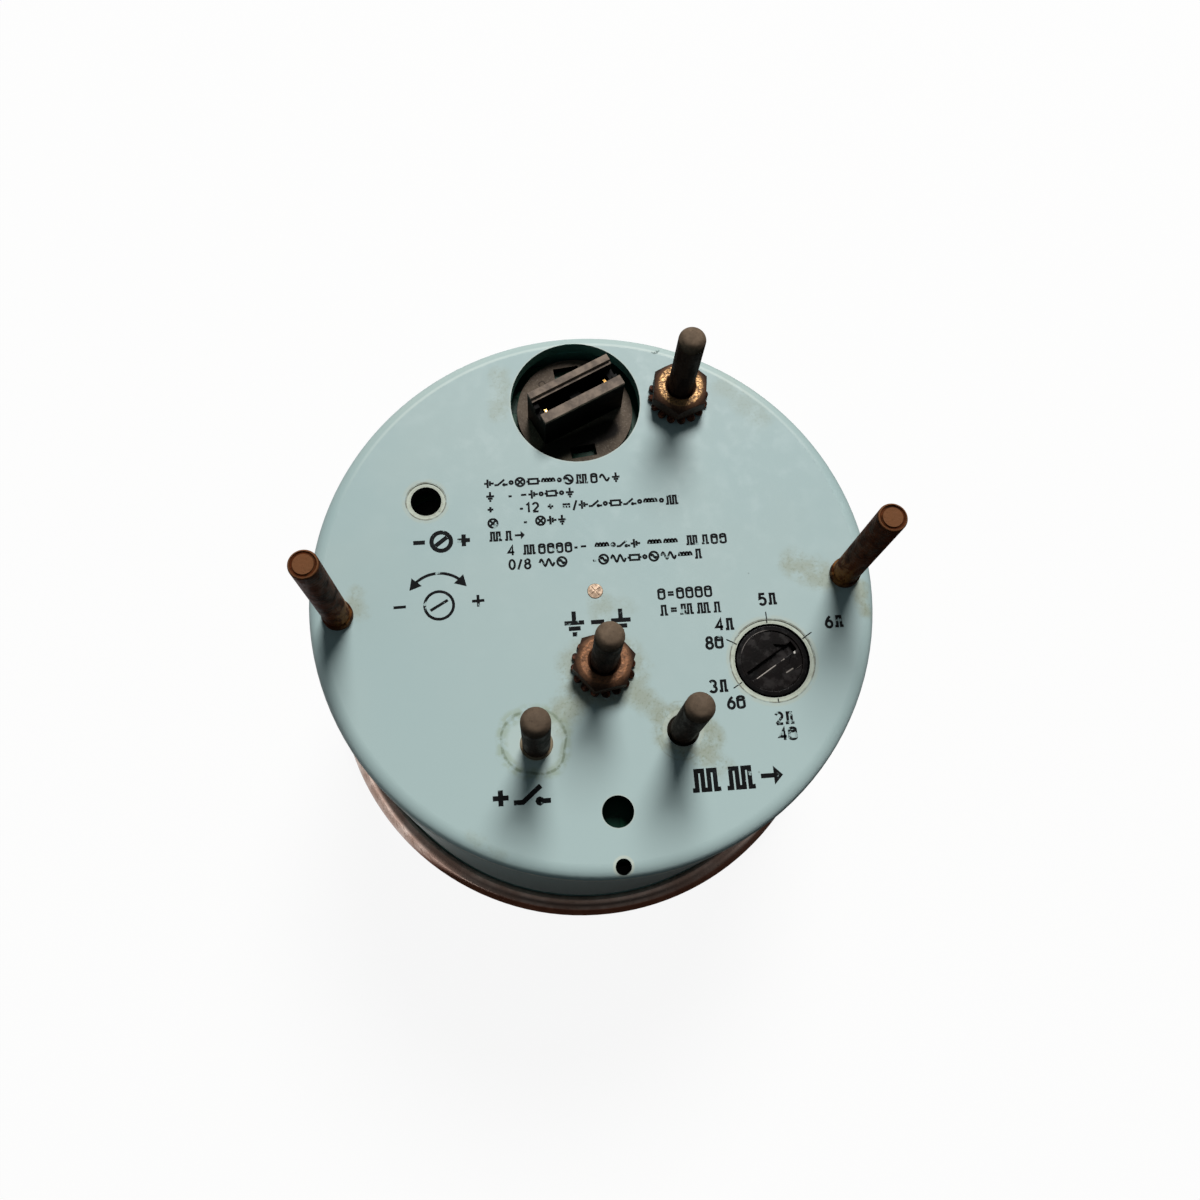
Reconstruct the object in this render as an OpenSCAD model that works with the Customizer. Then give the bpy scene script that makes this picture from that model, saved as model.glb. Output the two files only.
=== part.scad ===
// Boat tachometer with a moulded case, lying on its bezel with the terminals up.
// Lengths are in millimetres. The origin is the centre of the bezel's front plane,
// +Z runs to the rear plate, +X through the bracket studs and +Y to the lamp hole.

/* [Case] */
// Overall length from the front of the bezel to the rear face
case_depth = 58.5; // [56:0.5:75]
// Outer radius of the case at the rear face
case_rear_r = 42; // [42:0.1:43]
// Outer radius of the case behind its front flange
case_front_r = 42.8; // [42.4:0.1:44]
// Thickness of the side wall
case_wall = 2; // [1.4:0.1:2.2]
// Thickness of the rear plate
plate_t = 2.4; // [1.6:0.1:3]
// Radius of the rounded rear edge
rear_edge_r = 2.2; // [1:0.1:2.4]
// Width of the front flange outside the wall
case_flange_w = 2.8; // [2.4:0.1:4]
// Thickness of the front flange
case_flange_t = 1.6; // [1.2:0.1:2.4]
// Width of the ribs inside the wall
rib_w = 2; // [1.2:0.1:3]
// How far the ribs stand in from the wall
rib_depth = 2.4; // [1.6:0.1:2.8]
// Height of the bosses that hold the board off the plate
boss_h = 2.4; // [2:0.1:3]
// Radius of the bosses round the terminal holes
boss_r = 4; // [3.2:0.1:4.4]
// Width of the pale shoulder round the selector and calibration holes
shoulder_w = 0.6; // [0.3:0.1:0.8]
// Depth of that shoulder
shoulder_depth = 0.15; // [0.1:0.05:0.4]

/* [Bezel, lens and dial] */
// Sheet thickness of the bezel
bezel_t = 0.7; // [0.5:0.1:0.9]
// How far the rim stands in front of the lens seat
bezel_crown = 0.6; // [0.3:0.1:1]
// Radius of the rim's front corner
bezel_front_r = 1.3; // [1:0.1:1.6]
// Radius of the corner behind the case flange
bezel_rear_r = 1.2; // [0.6:0.1:1.3]
// How far the rim's lip reaches in over the lens
bezel_lip_w = 5.5; // [5.3:0.1:6.2]
// Thickness of the lens
lens_t = 2; // [1.6:0.1:3]
// Thickness of the lens gasket
gasket_t = 0.8; // [0.5:0.1:1.2]
// Radial width of the lens gasket
gasket_w = 4; // [3:0.1:4.4]
// Height of the reflector ring between the lens and the dial
reflector_h = 5; // [4.6:0.1:7]
// Thickness of the dial
dial_t = 0.8; // [0.6:0.1:1.2]
// Radius of the dial's centre hole
dial_hole_r = 2.6; // [2:0.1:3]

/* [Rear plate layout] */
// Distance of the lamp hole's centre in from the edge of the rear plate
lamp_in = 11.8; // [11.6:0.1:12.2]
// Radius of the lamp hole
lamp_hole_r = 10.05; // [9.6:0.05:10.4]
// Distance of the ground stud below the centre
ground_y = 12; // [11:0.1:13]
// Sideways place of the lamp feed stud
feed_x = 16; // [15.8:0.1:17]
// Distance of the lamp feed stud below the top edge of the rear plate
feed_in = 12.3; // [12:0.1:13.5]
// Sideways place of the ignition and sender studs
signal_x = 10.5; // [9:0.1:11]
// Distance of the ignition and sender studs below the centre
signal_y = 22.3; // [21.5:0.1:23.5]
// Distance of the selector in from the side of the rear plate
selector_in = 17.2; // [16.5:0.1:18]
// Distance of the selector below the centre
selector_y = 13.3; // [13:0.1:14]
// Radius of the selector hole
selector_hole_r = 5.55; // [5.4:0.05:6]
// Distance of the calibration hole in from the side of the rear plate
cal_in = 18.1; // [17:0.1:19]
// Upward place of the calibration hole
cal_y = 15.6; // [15:0.1:17]
// Radius of the calibration hole
cal_hole_r = 2.3; // [1.8:0.1:2.5]
// Distance of the vent hole in from the edge of the rear plate
vent_in = 9.2; // [8:0.1:11]
// Radius of the vent hole
vent_r = 2.25; // [1.5:0.05:2.6]
// Distance of the drain hole in from the edge of the rear plate
drain_in = 1.7; // [1.6:0.1:2.2]
// Radius of the drain hole
drain_r = 1.1; // [0.8:0.1:1.3]
// Distance of the middle plug below the centre
plug_y = 0.6; // [0:0.1:1.5]
// Radius of the middle plug
plug_r = 1.15; // [0.8:0.05:1.5]
// Depth of the middle plug in the plate
plug_depth = 1.4; // [1:0.1:1.4]
// Distance of the bracket studs in from the side of the rear plate
bracket_edge = 4.5; // [4.4:0.1:5]
// Distance of the bracket studs below the centre
bracket_y = 1.1; // [0:0.1:2]

/* [Terminals and bracket studs] */
// Radius of the terminal studs
stud_r = 1.98; // [1.85:0.01:2.1]
// Length of the terminal studs outside the plate
stud_out = 18.5; // [12:0.5:24]
// Radius of the terminal studs' clearance holes
stud_hole_r = 2.35; // [2.3:0.05:2.6]
// How far the shoulder at the foot of each terminal stud stands out of the plate
foot_out = 0.15; // [0.1:0.05:0.2]
// Radius of the terminal studs' heads
stud_head_r = 3.8; // [3:0.1:4]
// Thickness of the terminal studs' heads
stud_head_t = 1.4; // [1:0.1:2]
// Size of the terminal nuts across their flats
nut_af = 8; // [7:0.1:8.4]
// Radius of the flat ring on each face of the terminal nuts
nut_face_r = 3.35; // [3.1:0.05:3.5]
// Height of the terminal nuts
nut_h = 3.2; // [2.4:0.1:4]
// Outer radius of the toothed lock washers
washer_r = 4.7; // [4.4:0.1:5]
// Thickness of the lock washers' sheet
washer_sheet_t = 0.5; // [0.4:0.05:0.6]
// Height of the lock washers over their twisted teeth
washer_h = 0.9; // [0.8:0.05:1.1]
// Teeth on each lock washer
washer_teeth = 16; // [12:1:18]
// Radius of the bracket studs
bracket_r = 1.98; // [1.8:0.02:2.3]
// Length of the bracket studs outside the plate
bracket_out = 24; // [18:0.5:32]
// Height of the collar at the foot of each bracket stud
collar_h = 1.5; // [1:0.1:2.5]
// Depth of each bracket stud inside the case
bracket_in = 10; // [9:0.5:14]
// Size of the bracket studs' inner heads across their flats
bracket_head_af = 5.6; // [5:0.1:5.8]

/* [Lamp holder] */
// Radius of the holder's flange
holder_r = 9.1; // [8.6:0.1:9.2]
// Thickness of the holder's flange
holder_t = 1.35; // [1:0.05:1.8]
// Length of the grip
grip_l = 13.8; // [12:0.1:14]
// Width of the grip over both bars
grip_w = 5.6; // [5:0.1:6.4]
// Height of the grip above the flange
grip_h = 8; // [6:0.1:9]
// Width of the slot between the bars
grip_slot_w = 2.5; // [2:0.1:3]
// Depth of the slot between the bars
grip_slot_d = 6; // [4:0.1:6.4]
// Angle of the grip from the line through the bracket studs
grip_angle = 24.5; // [10:0.5:40]
// Turn from the locked to the free position
lamp_turn = 60; // [45:1:75]
// Radius of the holder's neck through the board
neck_r = 6.5; // [6.2:0.1:6.8]
// Radius over the locking lugs
lug_r = 7.9; // [7.4:0.1:8.2]
// Width of the locking lugs
lug_w = 3.2; // [2.4:0.1:3.6]
// Thickness of the locking lugs
lug_t = 1.2; // [0.8:0.1:1.6]
// Radius of the bulb barrel
barrel_r = 5.8; // [5.7:0.1:6]
// Length of the bulb barrel below the board
barrel_l = 10; // [9:0.5:12]
// Radius of the bulb
bulb_r = 4.8; // [4.4:0.1:4.9]
// Length of the bulb outside the barrel
bulb_out = 14; // [11:0.5:16]
// Wall of the bulb
bulb_wall = 0.6; // [0.4:0.1:0.8]

/* [Selector and calibration] */
// Side of the selector's square base
selector_base = 12.4; // [11.6:0.1:13]
// Height of the selector's base
selector_base_h = 2.2; // [1.8:0.1:2.3]
// Radius of the selector's rotor
selector_rotor_r = 4.5; // [4.2:0.05:4.6]
// Width of the rotor's slot
selector_slot_w = 1.5; // [1:0.1:1.8]
// Depth of the rotor's slot
selector_slot_d = 1; // [0.6:0.1:1.4]
// Direction of the rotor's arrow at rest
selector_angle = 30; // [0:1:60]
// Side of the calibration body
cal_base = 9.6; // [8:0.1:10]
// Height of the calibration body
cal_base_h = 5; // [4:0.1:6]
// Radius of the calibration rotor
cal_rotor_r = 2.5; // [2.2:0.05:3]
// Height of the calibration rotor
cal_rotor_h = 2.7; // [2:0.1:3]

/* [Movement] */
// Thickness of the board
board_t = 1.6; // [1.2:0.1:2]
// Distance of the spacers from the centre
spacer_x = 20; // [18.5:0.5:22]
// Size of the spacers across their flats
spacer_af = 5; // [4.5:0.1:5.5]
// Radius of the spacers' screws
screw_r = 1.2; // [1:0.05:1.3]
// Length of the spacers' screws in the spacers
screw_grip = 5; // [4:0.5:7]
// Thickness of the bobbin's ear plate
ear_t = 2; // [1.6:0.1:3]
// Side of the square bobbin core
core_side = 16; // [14:0.2:17]
// Height of the bobbin core
core_h = 13; // [12:0.2:15]
// Side of the bobbin's corner posts
post_side = 3.4; // [2.8:0.1:3.8]
// Thickness of each coil layer
coil_t = 1.6; // [1.2:0.1:1.9]
// Width of each coil half
coil_w = 3; // [2:0.1:3]
// Half the gap between coil halves, where the spindle runs
coil_gap = 1.9; // [1.7:0.1:2]
// Radius of the rotor magnet
magnet_r = 6.2; // [5:0.1:6.4]
// Height of the rotor magnet
magnet_h = 4.5; // [3:0.1:5]
// Radius of the spindle
spindle_r = 0.6; // [0.5:0.05:0.8]
// Sheet thickness of the shield can
shield_t = 0.8; // [0.5:0.1:1.2]
// Length of the pointer's blade from the spindle
pointer_l = 33; // [28:0.5:36]
// Length of the pointer's tail
pointer_tail = 10; // [8:0.5:12]
// Thickness of the pointer's blade
pointer_t = 0.6; // [0.5:0.1:0.9]
// Radius of the pointer's cap
cap_r = 5.2; // [4.5:0.1:6]
// Height of the pointer's cap
cap_h = 1.6; // [1.3:0.1:1.8]
// Direction of the pointer at zero
pointer_rest = -30; // [-45:1:-20]
// Distance of the stop pin from the spindle
stop_reach = 12; // [8:0.5:16]
// Radius of the stop pin
stop_r = 0.5; // [0.4:0.05:0.7]

/* [Board parts] */
// Length of the chip
chip_l = 19.3; // [15:0.1:20]
// Width of the chip's body
chip_w = 6.4; // [5.8:0.1:6.8]
// Radius of the large capacitor
big_cap_r = 5; // [4:0.1:5.4]
// Height of the large capacitor
big_cap_h = 12.5; // [9:0.5:14]
// Radius of the two small capacitors
small_cap_r = 3.15; // [2.5:0.05:3.6]
// Height of the two small capacitors
small_cap_h = 11; // [8:0.5:13]
// Length of the resistors' bodies
resistor_l = 6.3; // [5.6:0.1:6.8]
// Radius of the resistors' bodies
resistor_r = 1.15; // [0.9:0.05:1.3]
// Length of the diodes' bodies
diode_l = 4.2; // [3.6:0.1:5]
// Radius of the board parts' wires
wire_r = 0.3; // [0.25:0.05:0.35]

/* [Hidden] */
$fn = 64;

eps = 0.01;
// Gap between fixed pieces that are pushed or screwed together
fit_gap = 0.02;
// Gap between a turning piece and its bore
run_gap = 0.05;
// Gap between loose pieces that only locate each other
loose_gap = 0.2;

// Levels from the front of the bezel to the rear face
lens_z = bezel_crown + bezel_t;
gasket_z = lens_z + lens_t;
flange_z = gasket_z + gasket_t;
flange_end_z = flange_z + case_flange_t;
bezel_end_z = flange_end_z + bezel_t;
reflector_z = gasket_z + 0.1;
dial_z = reflector_z + reflector_h;
dial_end_z = dial_z + dial_t;
ear_end_z = dial_end_z + ear_t;
plate_z = case_depth - plate_t;
board_end_z = plate_z - boss_h;
board_z = board_end_z - board_t;

// Radii that follow from the case
case_flange_r = case_front_r + case_flange_w;
bezel_pocket_r = case_flange_r + loose_gap / 2;
bezel_r = bezel_pocket_r + bezel_t;
bezel_bore_r = bezel_pocket_r - bezel_lip_w;
function case_r(z) = case_front_r + (case_rear_r - case_front_r) * (z - flange_z) / (case_depth - flange_z);
function bore_r(z) = case_r(z) - case_wall;
rib_angles = [30, 150, 210, 250, 290, 330];
board_r = bore_r(board_end_z) - 3 * loose_gap;

// Places on the rear plate
lamp_at = [0, case_rear_r - lamp_in];
ground_at = [0, -ground_y];
feed_at = [feed_x, case_rear_r - feed_in];
terminals_at = [ground_at, feed_at, [-signal_x, -signal_y], [signal_x, -signal_y]];
nutted_at = [ground_at, feed_at];
selector_at = [case_rear_r - selector_in, -selector_y];
cal_at = [cal_in - case_rear_r, cal_y];
brackets_at = [for (side = [-1, 1]) [side * (case_rear_r - bracket_edge), -bracket_y]];
spacers_at = [[-spacer_x, 0], [spacer_x, 0]];

// Levels of the lamp holder
holder_z = board_end_z + run_gap;
holder_end_z = holder_z + holder_t;
grip_end_z = holder_end_z + grip_h;
lug_end_z = board_z - run_gap;
lug_z = lug_end_z - lug_t;
barrel_z = board_z - barrel_l;
lug_angle = grip_angle + 90;
contact_t = 0.4;
contact_w = 0.8;
contact_x = 5.2;
contact_end_z = grip_end_z - 2.7;

// Levels of the selector
selector_base_z = board_end_z + selector_base_h;
selector_top_z = case_depth - 0.3;
selector_face_z = case_depth - 0.5;
selector_floor_t = 0.8;
wiper_t = 0.3;
selector_rotor_z = board_end_z + selector_floor_t + wiper_t + 2 * run_gap;
pivot_r = 1.2;

// Levels of the movement
screw_head_r = 2.2;
screw_head_t = 1;
core_mid_z = ear_end_z + core_h / 2 + 2 * coil_t + 4 * loose_gap;
core_z = core_mid_z - core_h / 2;
core_end_z = core_mid_z + core_h / 2;
coil_step = coil_t + 0.1;
coil_reach = core_side / 2 + 0.1;
post_end_z = core_end_z + 2 * coil_step + loose_gap;
magnet_gap = 0.8;
cavity_r = magnet_r + magnet_gap;
cavity_h = magnet_h + 3 * magnet_gap;
bush_r = spindle_r + 1;
post_at = core_side / 2 + 0.6 - post_side / 2;
wire_at = post_at;
shield_r = (post_at + post_side / 2) * sqrt(2) + loose_gap;
shield_end_z = post_end_z + shield_t;
blade_z = dial_z - 2.8;
hub_r = 2.4;
hub_h = 1.8;
cap_z = blade_z - cap_h;
blade_w = 3;
tip_w = 1.2;

// Solid of revolution with a rounded outer edge at its far end
module round_end(r, z0, z1, edge) {
    rotate_extrude() {
        translate([0, z0]) square([r, z1 - z0 - edge]);
        translate([0, z0]) square([r - edge, z1 - z0]);
        translate([r - edge, z1 - edge]) circle(r = edge);
    }
}

// Round hole or pin at a place on the plate, between two levels
module column(at, r, z0, z1) {
    translate([at[0], at[1], z0]) cylinder(r = r, h = z1 - z0);
}

module case() {
    color([0.66, 0.75, 0.74])
    difference() {
        union() {
            difference() {
                case_outside();
                case_cavity();
            }
            case_ribs();
            for (at = terminals_at) column(at, boss_r, board_end_z, plate_z + eps);
            for (at = brackets_at) column(at, boss_r + loose_gap, case_depth - bracket_in, plate_z + eps);
        }
        column(lamp_at, lamp_hole_r, plate_z - eps, case_depth + eps);
        for (at = terminals_at) column(at, stud_hole_r, board_end_z - eps, case_depth + eps);
        for (at = brackets_at) bracket_stud_hole(at);
        shouldered_hole(selector_at, selector_hole_r);
        shouldered_hole(cal_at, cal_hole_r);
        column([0, vent_in - case_rear_r], vent_r, plate_z - eps, case_depth + eps);
        column([0, drain_in - case_rear_r], drain_r, plate_z - plate_t, case_depth + eps);
        column([0, -plug_y], plug_r + fit_gap, case_depth - plug_depth, case_depth + eps);
    }
}

module case_outside() {
    edge_z = case_depth - rear_edge_r;
    rotate_extrude() {
        polygon([[0, flange_z], [case_front_r, flange_z], [case_r(edge_z), edge_z], [0, edge_z]]);
        translate([0, edge_z]) square([case_rear_r - rear_edge_r, rear_edge_r]);
        translate([case_rear_r - rear_edge_r, edge_z]) circle(r = rear_edge_r);
        translate([0, flange_z]) square([case_flange_r, case_flange_t]);
    }
}

module case_cavity() {
    rotate_extrude()
        polygon([
            [0, flange_z - eps],
            [bore_r(flange_z), flange_z - eps],
            [bore_r(plate_z), plate_z],
            [0, plate_z]
        ]);
}

module case_ribs() {
    rib_in_r = bore_r(plate_z) - rib_depth;
    for (a = rib_angles)
        rotate([0, 0, a])
            translate([rib_in_r, -rib_w / 2, dial_end_z])
                cube([bore_r(flange_z) + case_wall / 4 - rib_in_r, rib_w, plate_z + eps - dial_end_z]);
}

// Hole in the rear plate inside a shallow pale shoulder
module shouldered_hole(at, r) {
    column(at, r, plate_z - eps, case_depth + eps);
    column(at, r + shoulder_w, case_depth - shoulder_depth, case_depth + eps);
}

module bracket_stud_hole(at) {
    column(at, bracket_r + fit_gap, case_depth - bracket_in - eps, case_depth + eps);
    column(at, bracket_head_r() + loose_gap, plate_z - 3 * bracket_in, case_depth - bracket_in);
}

function bracket_head_r() = bracket_head_af / sqrt(3);

module bezel() {
    lip_z = lens_z - bezel_t;
    front_in_r = bezel_r - bezel_front_r;
    rear_in_r = bezel_r - bezel_rear_r;
    curl_bore_r = case_front_r + loose_gap;
    curl_edge = bezel_t - 0.1;
    color([0.78, 0.76, 0.74])
    rotate_extrude()
        difference() {
            union() {
                polygon([
                    [bezel_bore_r, lip_z],
                    [front_in_r, 0],
                    [front_in_r, bezel_front_r],
                    [bezel_r, bezel_front_r],
                    [bezel_r, bezel_end_z - bezel_rear_r],
                    [rear_in_r, bezel_end_z - bezel_rear_r],
                    [rear_in_r, bezel_end_z],
                    [curl_bore_r + curl_edge, bezel_end_z],
                    [curl_bore_r + curl_edge, bezel_end_z - curl_edge],
                    [curl_bore_r, bezel_end_z - curl_edge],
                    [curl_bore_r, lens_z],
                    [bezel_bore_r, lens_z]
                ]);
                translate([front_in_r, bezel_front_r]) circle(r = bezel_front_r);
                translate([rear_in_r, bezel_end_z - bezel_rear_r]) circle(r = bezel_rear_r);
                translate([curl_bore_r + curl_edge, bezel_end_z - curl_edge]) circle(r = curl_edge);
            }
            translate([bezel_bore_r - eps, lens_z])
                square([bezel_pocket_r - bezel_bore_r + eps, flange_end_z - lens_z]);
        }
}

module lens() {
    lens_r = bezel_pocket_r - loose_gap;
    edge = 0.3;
    color([0.85, 0.9, 0.9, 0.35])
    rotate_extrude()
        polygon([
            [0, lens_z],
            [lens_r - edge, lens_z],
            [lens_r, lens_z + edge],
            [lens_r, gasket_z - edge],
            [lens_r - edge, gasket_z],
            [0, gasket_z]
        ]);
}

module lens_gasket() {
    gasket_r = bezel_pocket_r - loose_gap;
    color([0.1, 0.1, 0.1])
    difference() {
        translate([0, 0, gasket_z]) cylinder(r = gasket_r, h = gasket_t);
        translate([0, 0, gasket_z - eps]) cylinder(r = gasket_r - gasket_w, h = gasket_t + 2 * eps);
    }
}

module reflector_ring() {
    ring_r = bore_r(dial_z) - loose_gap;
    front_wall = 0.8;
    rear_wall = 2.4;
    color([0.9, 0.9, 0.88])
    rotate_extrude()
        polygon([
            [ring_r - front_wall, reflector_z],
            [ring_r, reflector_z],
            [ring_r, dial_z],
            [ring_r - rear_wall, dial_z],
            [ring_r - rear_wall, dial_z - front_wall]
        ]);
}

module dial() {
    dial_r = bore_r(dial_end_z) - 2 * loose_gap;
    color([0.08, 0.08, 0.09])
    difference() {
        translate([0, 0, dial_z]) cylinder(r = dial_r, h = dial_t);
        column([0, 0], dial_hole_r, dial_z - eps, dial_end_z + eps);
        for (at = spacers_at) column(at, screw_r + fit_gap, dial_z - eps, dial_end_z + eps);
        column(stop_at(), stop_r + fit_gap, dial_z - eps, dial_end_z + eps);
    }
}

module dial_screws() {
    color([0.15, 0.15, 0.15])
    for (at = spacers_at)
        difference() {
            union() {
                column(at, screw_head_r, dial_z - screw_head_t, dial_z);
                column(at, screw_r, dial_z - eps, ear_end_z + screw_grip);
            }
            translate([at[0], at[1], dial_z - screw_head_t])
                cube([2 * screw_head_r + 1, 0.6, screw_head_t], center = true);
        }
}

// The pin stands beside the resting blade, on the side away from the scale
function stop_at() =
    let (
        half = tip_w / 2 + (blade_w - tip_w) / 2 * (1 - stop_reach / pointer_l),
        side = half + stop_r + 2 * run_gap
    )
    [
        stop_reach * cos(pointer_rest) + side * sin(pointer_rest),
        stop_reach * sin(pointer_rest) - side * cos(pointer_rest)
    ];

module stop_pin() {
    color([0.2, 0.2, 0.2])
    column(stop_at(), stop_r, blade_z - loose_gap, dial_end_z);
}

module pointer() {
    color([0.9, 0.25, 0.1])
    rotate([0, 0, pointer_rest])
        difference() {
            union() {
                translate([0, 0, blade_z])
                    linear_extrude(height = pointer_t)
                        polygon([
                            [-pointer_tail, -blade_w / 2],
                            [0, -blade_w / 2],
                            [pointer_l - tip_w, -tip_w / 2],
                            [pointer_l, 0],
                            [pointer_l - tip_w, tip_w / 2],
                            [0, blade_w / 2],
                            [-pointer_tail, blade_w / 2]
                        ]);
                column([0, 0], hub_r, blade_z, blade_z + hub_h);
            }
            column([0, 0], spindle_r + fit_gap, blade_z - eps, blade_z + hub_h + eps);
        }
}

module pointer_cap() {
    bore_d = 1;
    edge = 0.7;
    color([0.1, 0.1, 0.1])
    translate([0, 0, blade_z])
        mirror([0, 0, 1])
            difference() {
                round_end(cap_r, 0, cap_h, edge);
                translate([0, 0, -eps]) cylinder(r = spindle_r + fit_gap, h = bore_d);
            }
}

module spindle() {
    color([0.75, 0.75, 0.76])
    column([0, 0], spindle_r, blade_z - 0.8, core_end_z - loose_gap);
}

module rotor_magnet() {
    color([0.3, 0.3, 0.32])
    difference() {
        column([0, 0], magnet_r, core_mid_z - magnet_h / 2, core_mid_z + magnet_h / 2);
        column([0, 0], spindle_r + fit_gap / 2, core_z, core_end_z);
    }
}

module bearings() {
    color([0.8, 0.65, 0.3])
    difference() {
        union() {
            column([0, 0], bush_r, core_z, core_mid_z - cavity_h / 2);
            column([0, 0], bush_r, core_mid_z + cavity_h / 2, core_end_z);
        }
        column([0, 0], spindle_r + run_gap, core_z - eps, core_end_z + eps);
    }
}

// One half of the bobbin's core, with its share of the magnet's cavity
module core_half(z0, z1) {
    difference() {
        translate([-core_side / 2, -core_side / 2, z0]) cube([core_side, core_side, z1 - z0]);
        column([0, 0], cavity_r, core_mid_z - cavity_h / 2, core_mid_z + cavity_h / 2);
        column([0, 0], bush_r + fit_gap, core_z - eps, core_end_z + eps);
    }
}

module corner_posts(z0, z1) {
    for (x = [-post_at, post_at], y = [-post_at, post_at])
        translate([x - post_side / 2, y - post_side / 2, z0])
            cube([post_side, post_side, z1 - z0]);
}

module bobbin_front() {
    ear_r = spacer_af / 2 + 1;
    color([0.85, 0.83, 0.75])
    difference() {
        union() {
            column([0, 0], shield_r + shield_t, dial_end_z, ear_end_z);
            for (at = spacers_at) column(at, ear_r, dial_end_z, ear_end_z);
            translate([-spacer_x, -ear_r, dial_end_z]) cube([2 * spacer_x, 2 * ear_r, ear_t]);
            corner_posts(ear_end_z - eps, core_mid_z);
            core_half(core_z, core_mid_z);
        }
        column([0, 0], dial_hole_r, dial_end_z - eps, ear_end_z + eps);
        for (at = spacers_at) column(at, screw_r + fit_gap, dial_end_z - eps, ear_end_z + eps);
        column(stop_at(), stop_r + loose_gap, dial_end_z - eps, ear_end_z + eps);
        column([0, 0], cavity_r, core_mid_z - cavity_h / 2, core_mid_z + eps);
    }
}

module bobbin_rear() {
    color([0.82, 0.8, 0.72])
    difference() {
        union() {
            core_half(core_mid_z, core_end_z);
            corner_posts(core_mid_z, post_end_z);
        }
        column([0, 0], cavity_r, core_mid_z - eps, core_mid_z + cavity_h / 2);
        coil_wire_holes(wire_r + fit_gap, core_end_z, post_end_z + eps);
    }
}

// Two halves of one coil, wound round the core beside the spindle
module coil_pair(layer) {
    in_x = coil_reach;
    in_z = core_h / 2 + 0.1 + layer * coil_step;
    for (side = [-1, 1])
        translate([0, side * (coil_gap + coil_w / 2), core_mid_z])
            rotate([90, 0, 0])
                linear_extrude(height = coil_w, center = true)
                    difference() {
                        square([2 * (in_x + coil_t), 2 * (in_z + coil_t)], center = true);
                        square([2 * in_x, 2 * in_z], center = true);
                    }
}

module inner_coils() {
    color([0.7, 0.35, 0.15]) coil_pair(0);
}

module outer_coils() {
    color([0.72, 0.38, 0.17]) rotate([0, 0, 90]) coil_pair(1);
}

module shield_can() {
    color([0.6, 0.6, 0.6])
    difference() {
        column([0, 0], shield_r + shield_t, ear_end_z, shield_end_z);
        column([0, 0], shield_r, ear_end_z - eps, post_end_z);
        coil_wire_holes(3 * wire_r, post_end_z - eps, shield_end_z + eps);
    }
}

module coil_wire_holes(r, z0, z1) {
    for (x = [-wire_at, wire_at], y = [-wire_at, wire_at]) column([x, y], r, z0, z1);
}

module coil_wires() {
    color([0.75, 0.5, 0.3])
    coil_wire_holes(wire_r, core_end_z, board_end_z + 0.6);
}

module spacers() {
    color([0.7, 0.7, 0.68])
    for (at = spacers_at)
        difference() {
            translate([at[0], at[1], ear_end_z])
                cylinder(r = spacer_af / sqrt(3), h = board_z - ear_end_z, $fn = 6);
            column(at, screw_r + fit_gap, ear_end_z - eps, ear_end_z + screw_grip + 0.5);
            column(at, screw_r + fit_gap, board_z - screw_grip - 0.5, board_z + eps);
        }
}

module board_screws() {
    color([0.75, 0.75, 0.72])
    for (at = spacers_at)
        difference() {
            union() {
                column(at, screw_head_r, board_end_z, board_end_z + screw_head_t);
                column(at, screw_r, board_z - screw_grip, board_end_z + eps);
            }
            translate([at[0], at[1], board_end_z + screw_head_t])
                cube([2 * screw_head_r + 1, 0.6, screw_head_t], center = true);
        }
}

module circuit_board() {
    color([0.1, 0.3, 0.22])
    difference() {
        column([0, 0], board_r, board_z, board_end_z);
        for (a = rib_angles)
            rotate([0, 0, a])
                translate([bore_r(plate_z) - rib_depth - loose_gap, -rib_w / 2 - loose_gap, board_z - eps])
                    cube([rib_depth + 1, rib_w + 2 * loose_gap, board_t + 2 * eps]);
        for (at = brackets_at) column(at, boss_r + 2 * loose_gap, board_z - eps, board_end_z + eps);
        column(lamp_at, neck_r + run_gap, board_z - eps, board_end_z + eps);
        translate([lamp_at[0], lamp_at[1], board_z - eps])
            rotate([0, 0, lug_angle + lamp_turn])
                lug_shape(lug_r + loose_gap, lug_w + 2 * loose_gap, board_t + 2 * eps);
        for (at = terminals_at) column(at, stud_r + fit_gap, board_z - eps, board_end_z + eps);
        for (at = spacers_at) column(at, screw_r + fit_gap, board_z - eps, board_end_z + eps);
        column(cal_at, cal_rotor_r + loose_gap, board_z - eps, board_end_z + eps);
        coil_wire_holes(wire_r + fit_gap, board_z - eps, board_end_z + eps);
    }
}

// Bar through the centre with its ends on a circle
module lug_shape(r, w, h) {
    intersection() {
        cylinder(r = r, h = h);
        translate([-r, -w / 2, 0]) cube([2 * r, w, h]);
    }
}

// Place on the board by its share of the board's radius and its direction
function on_ring(share, a) = share * board_r * [cos(a), sin(a)];

// Places a board part: its own +Z points away from the board, towards the dial
module on_board(at, turn = 0) {
    translate([at[0], at[1], board_z]) mirror([0, 0, 1]) rotate([0, 0, turn]) children();
}

chip_at = [0, 1.5];
chip_lift = 0.6;
chip_h = 3.3;
leg_pitch = 2.54;
leg_count = 7;
leg_w = 0.5;
leg_t = 0.3;
leg_span = 7.6;

module chip() {
    color([0.12, 0.12, 0.12])
    on_board(chip_at)
        difference() {
            translate([-chip_l / 2, -chip_w / 2, chip_lift]) cube([chip_l, chip_w, chip_h]);
            translate([-chip_l / 2, 0, chip_lift + chip_h - 0.4]) cylinder(r = 0.9, h = 1);
        }
}

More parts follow.
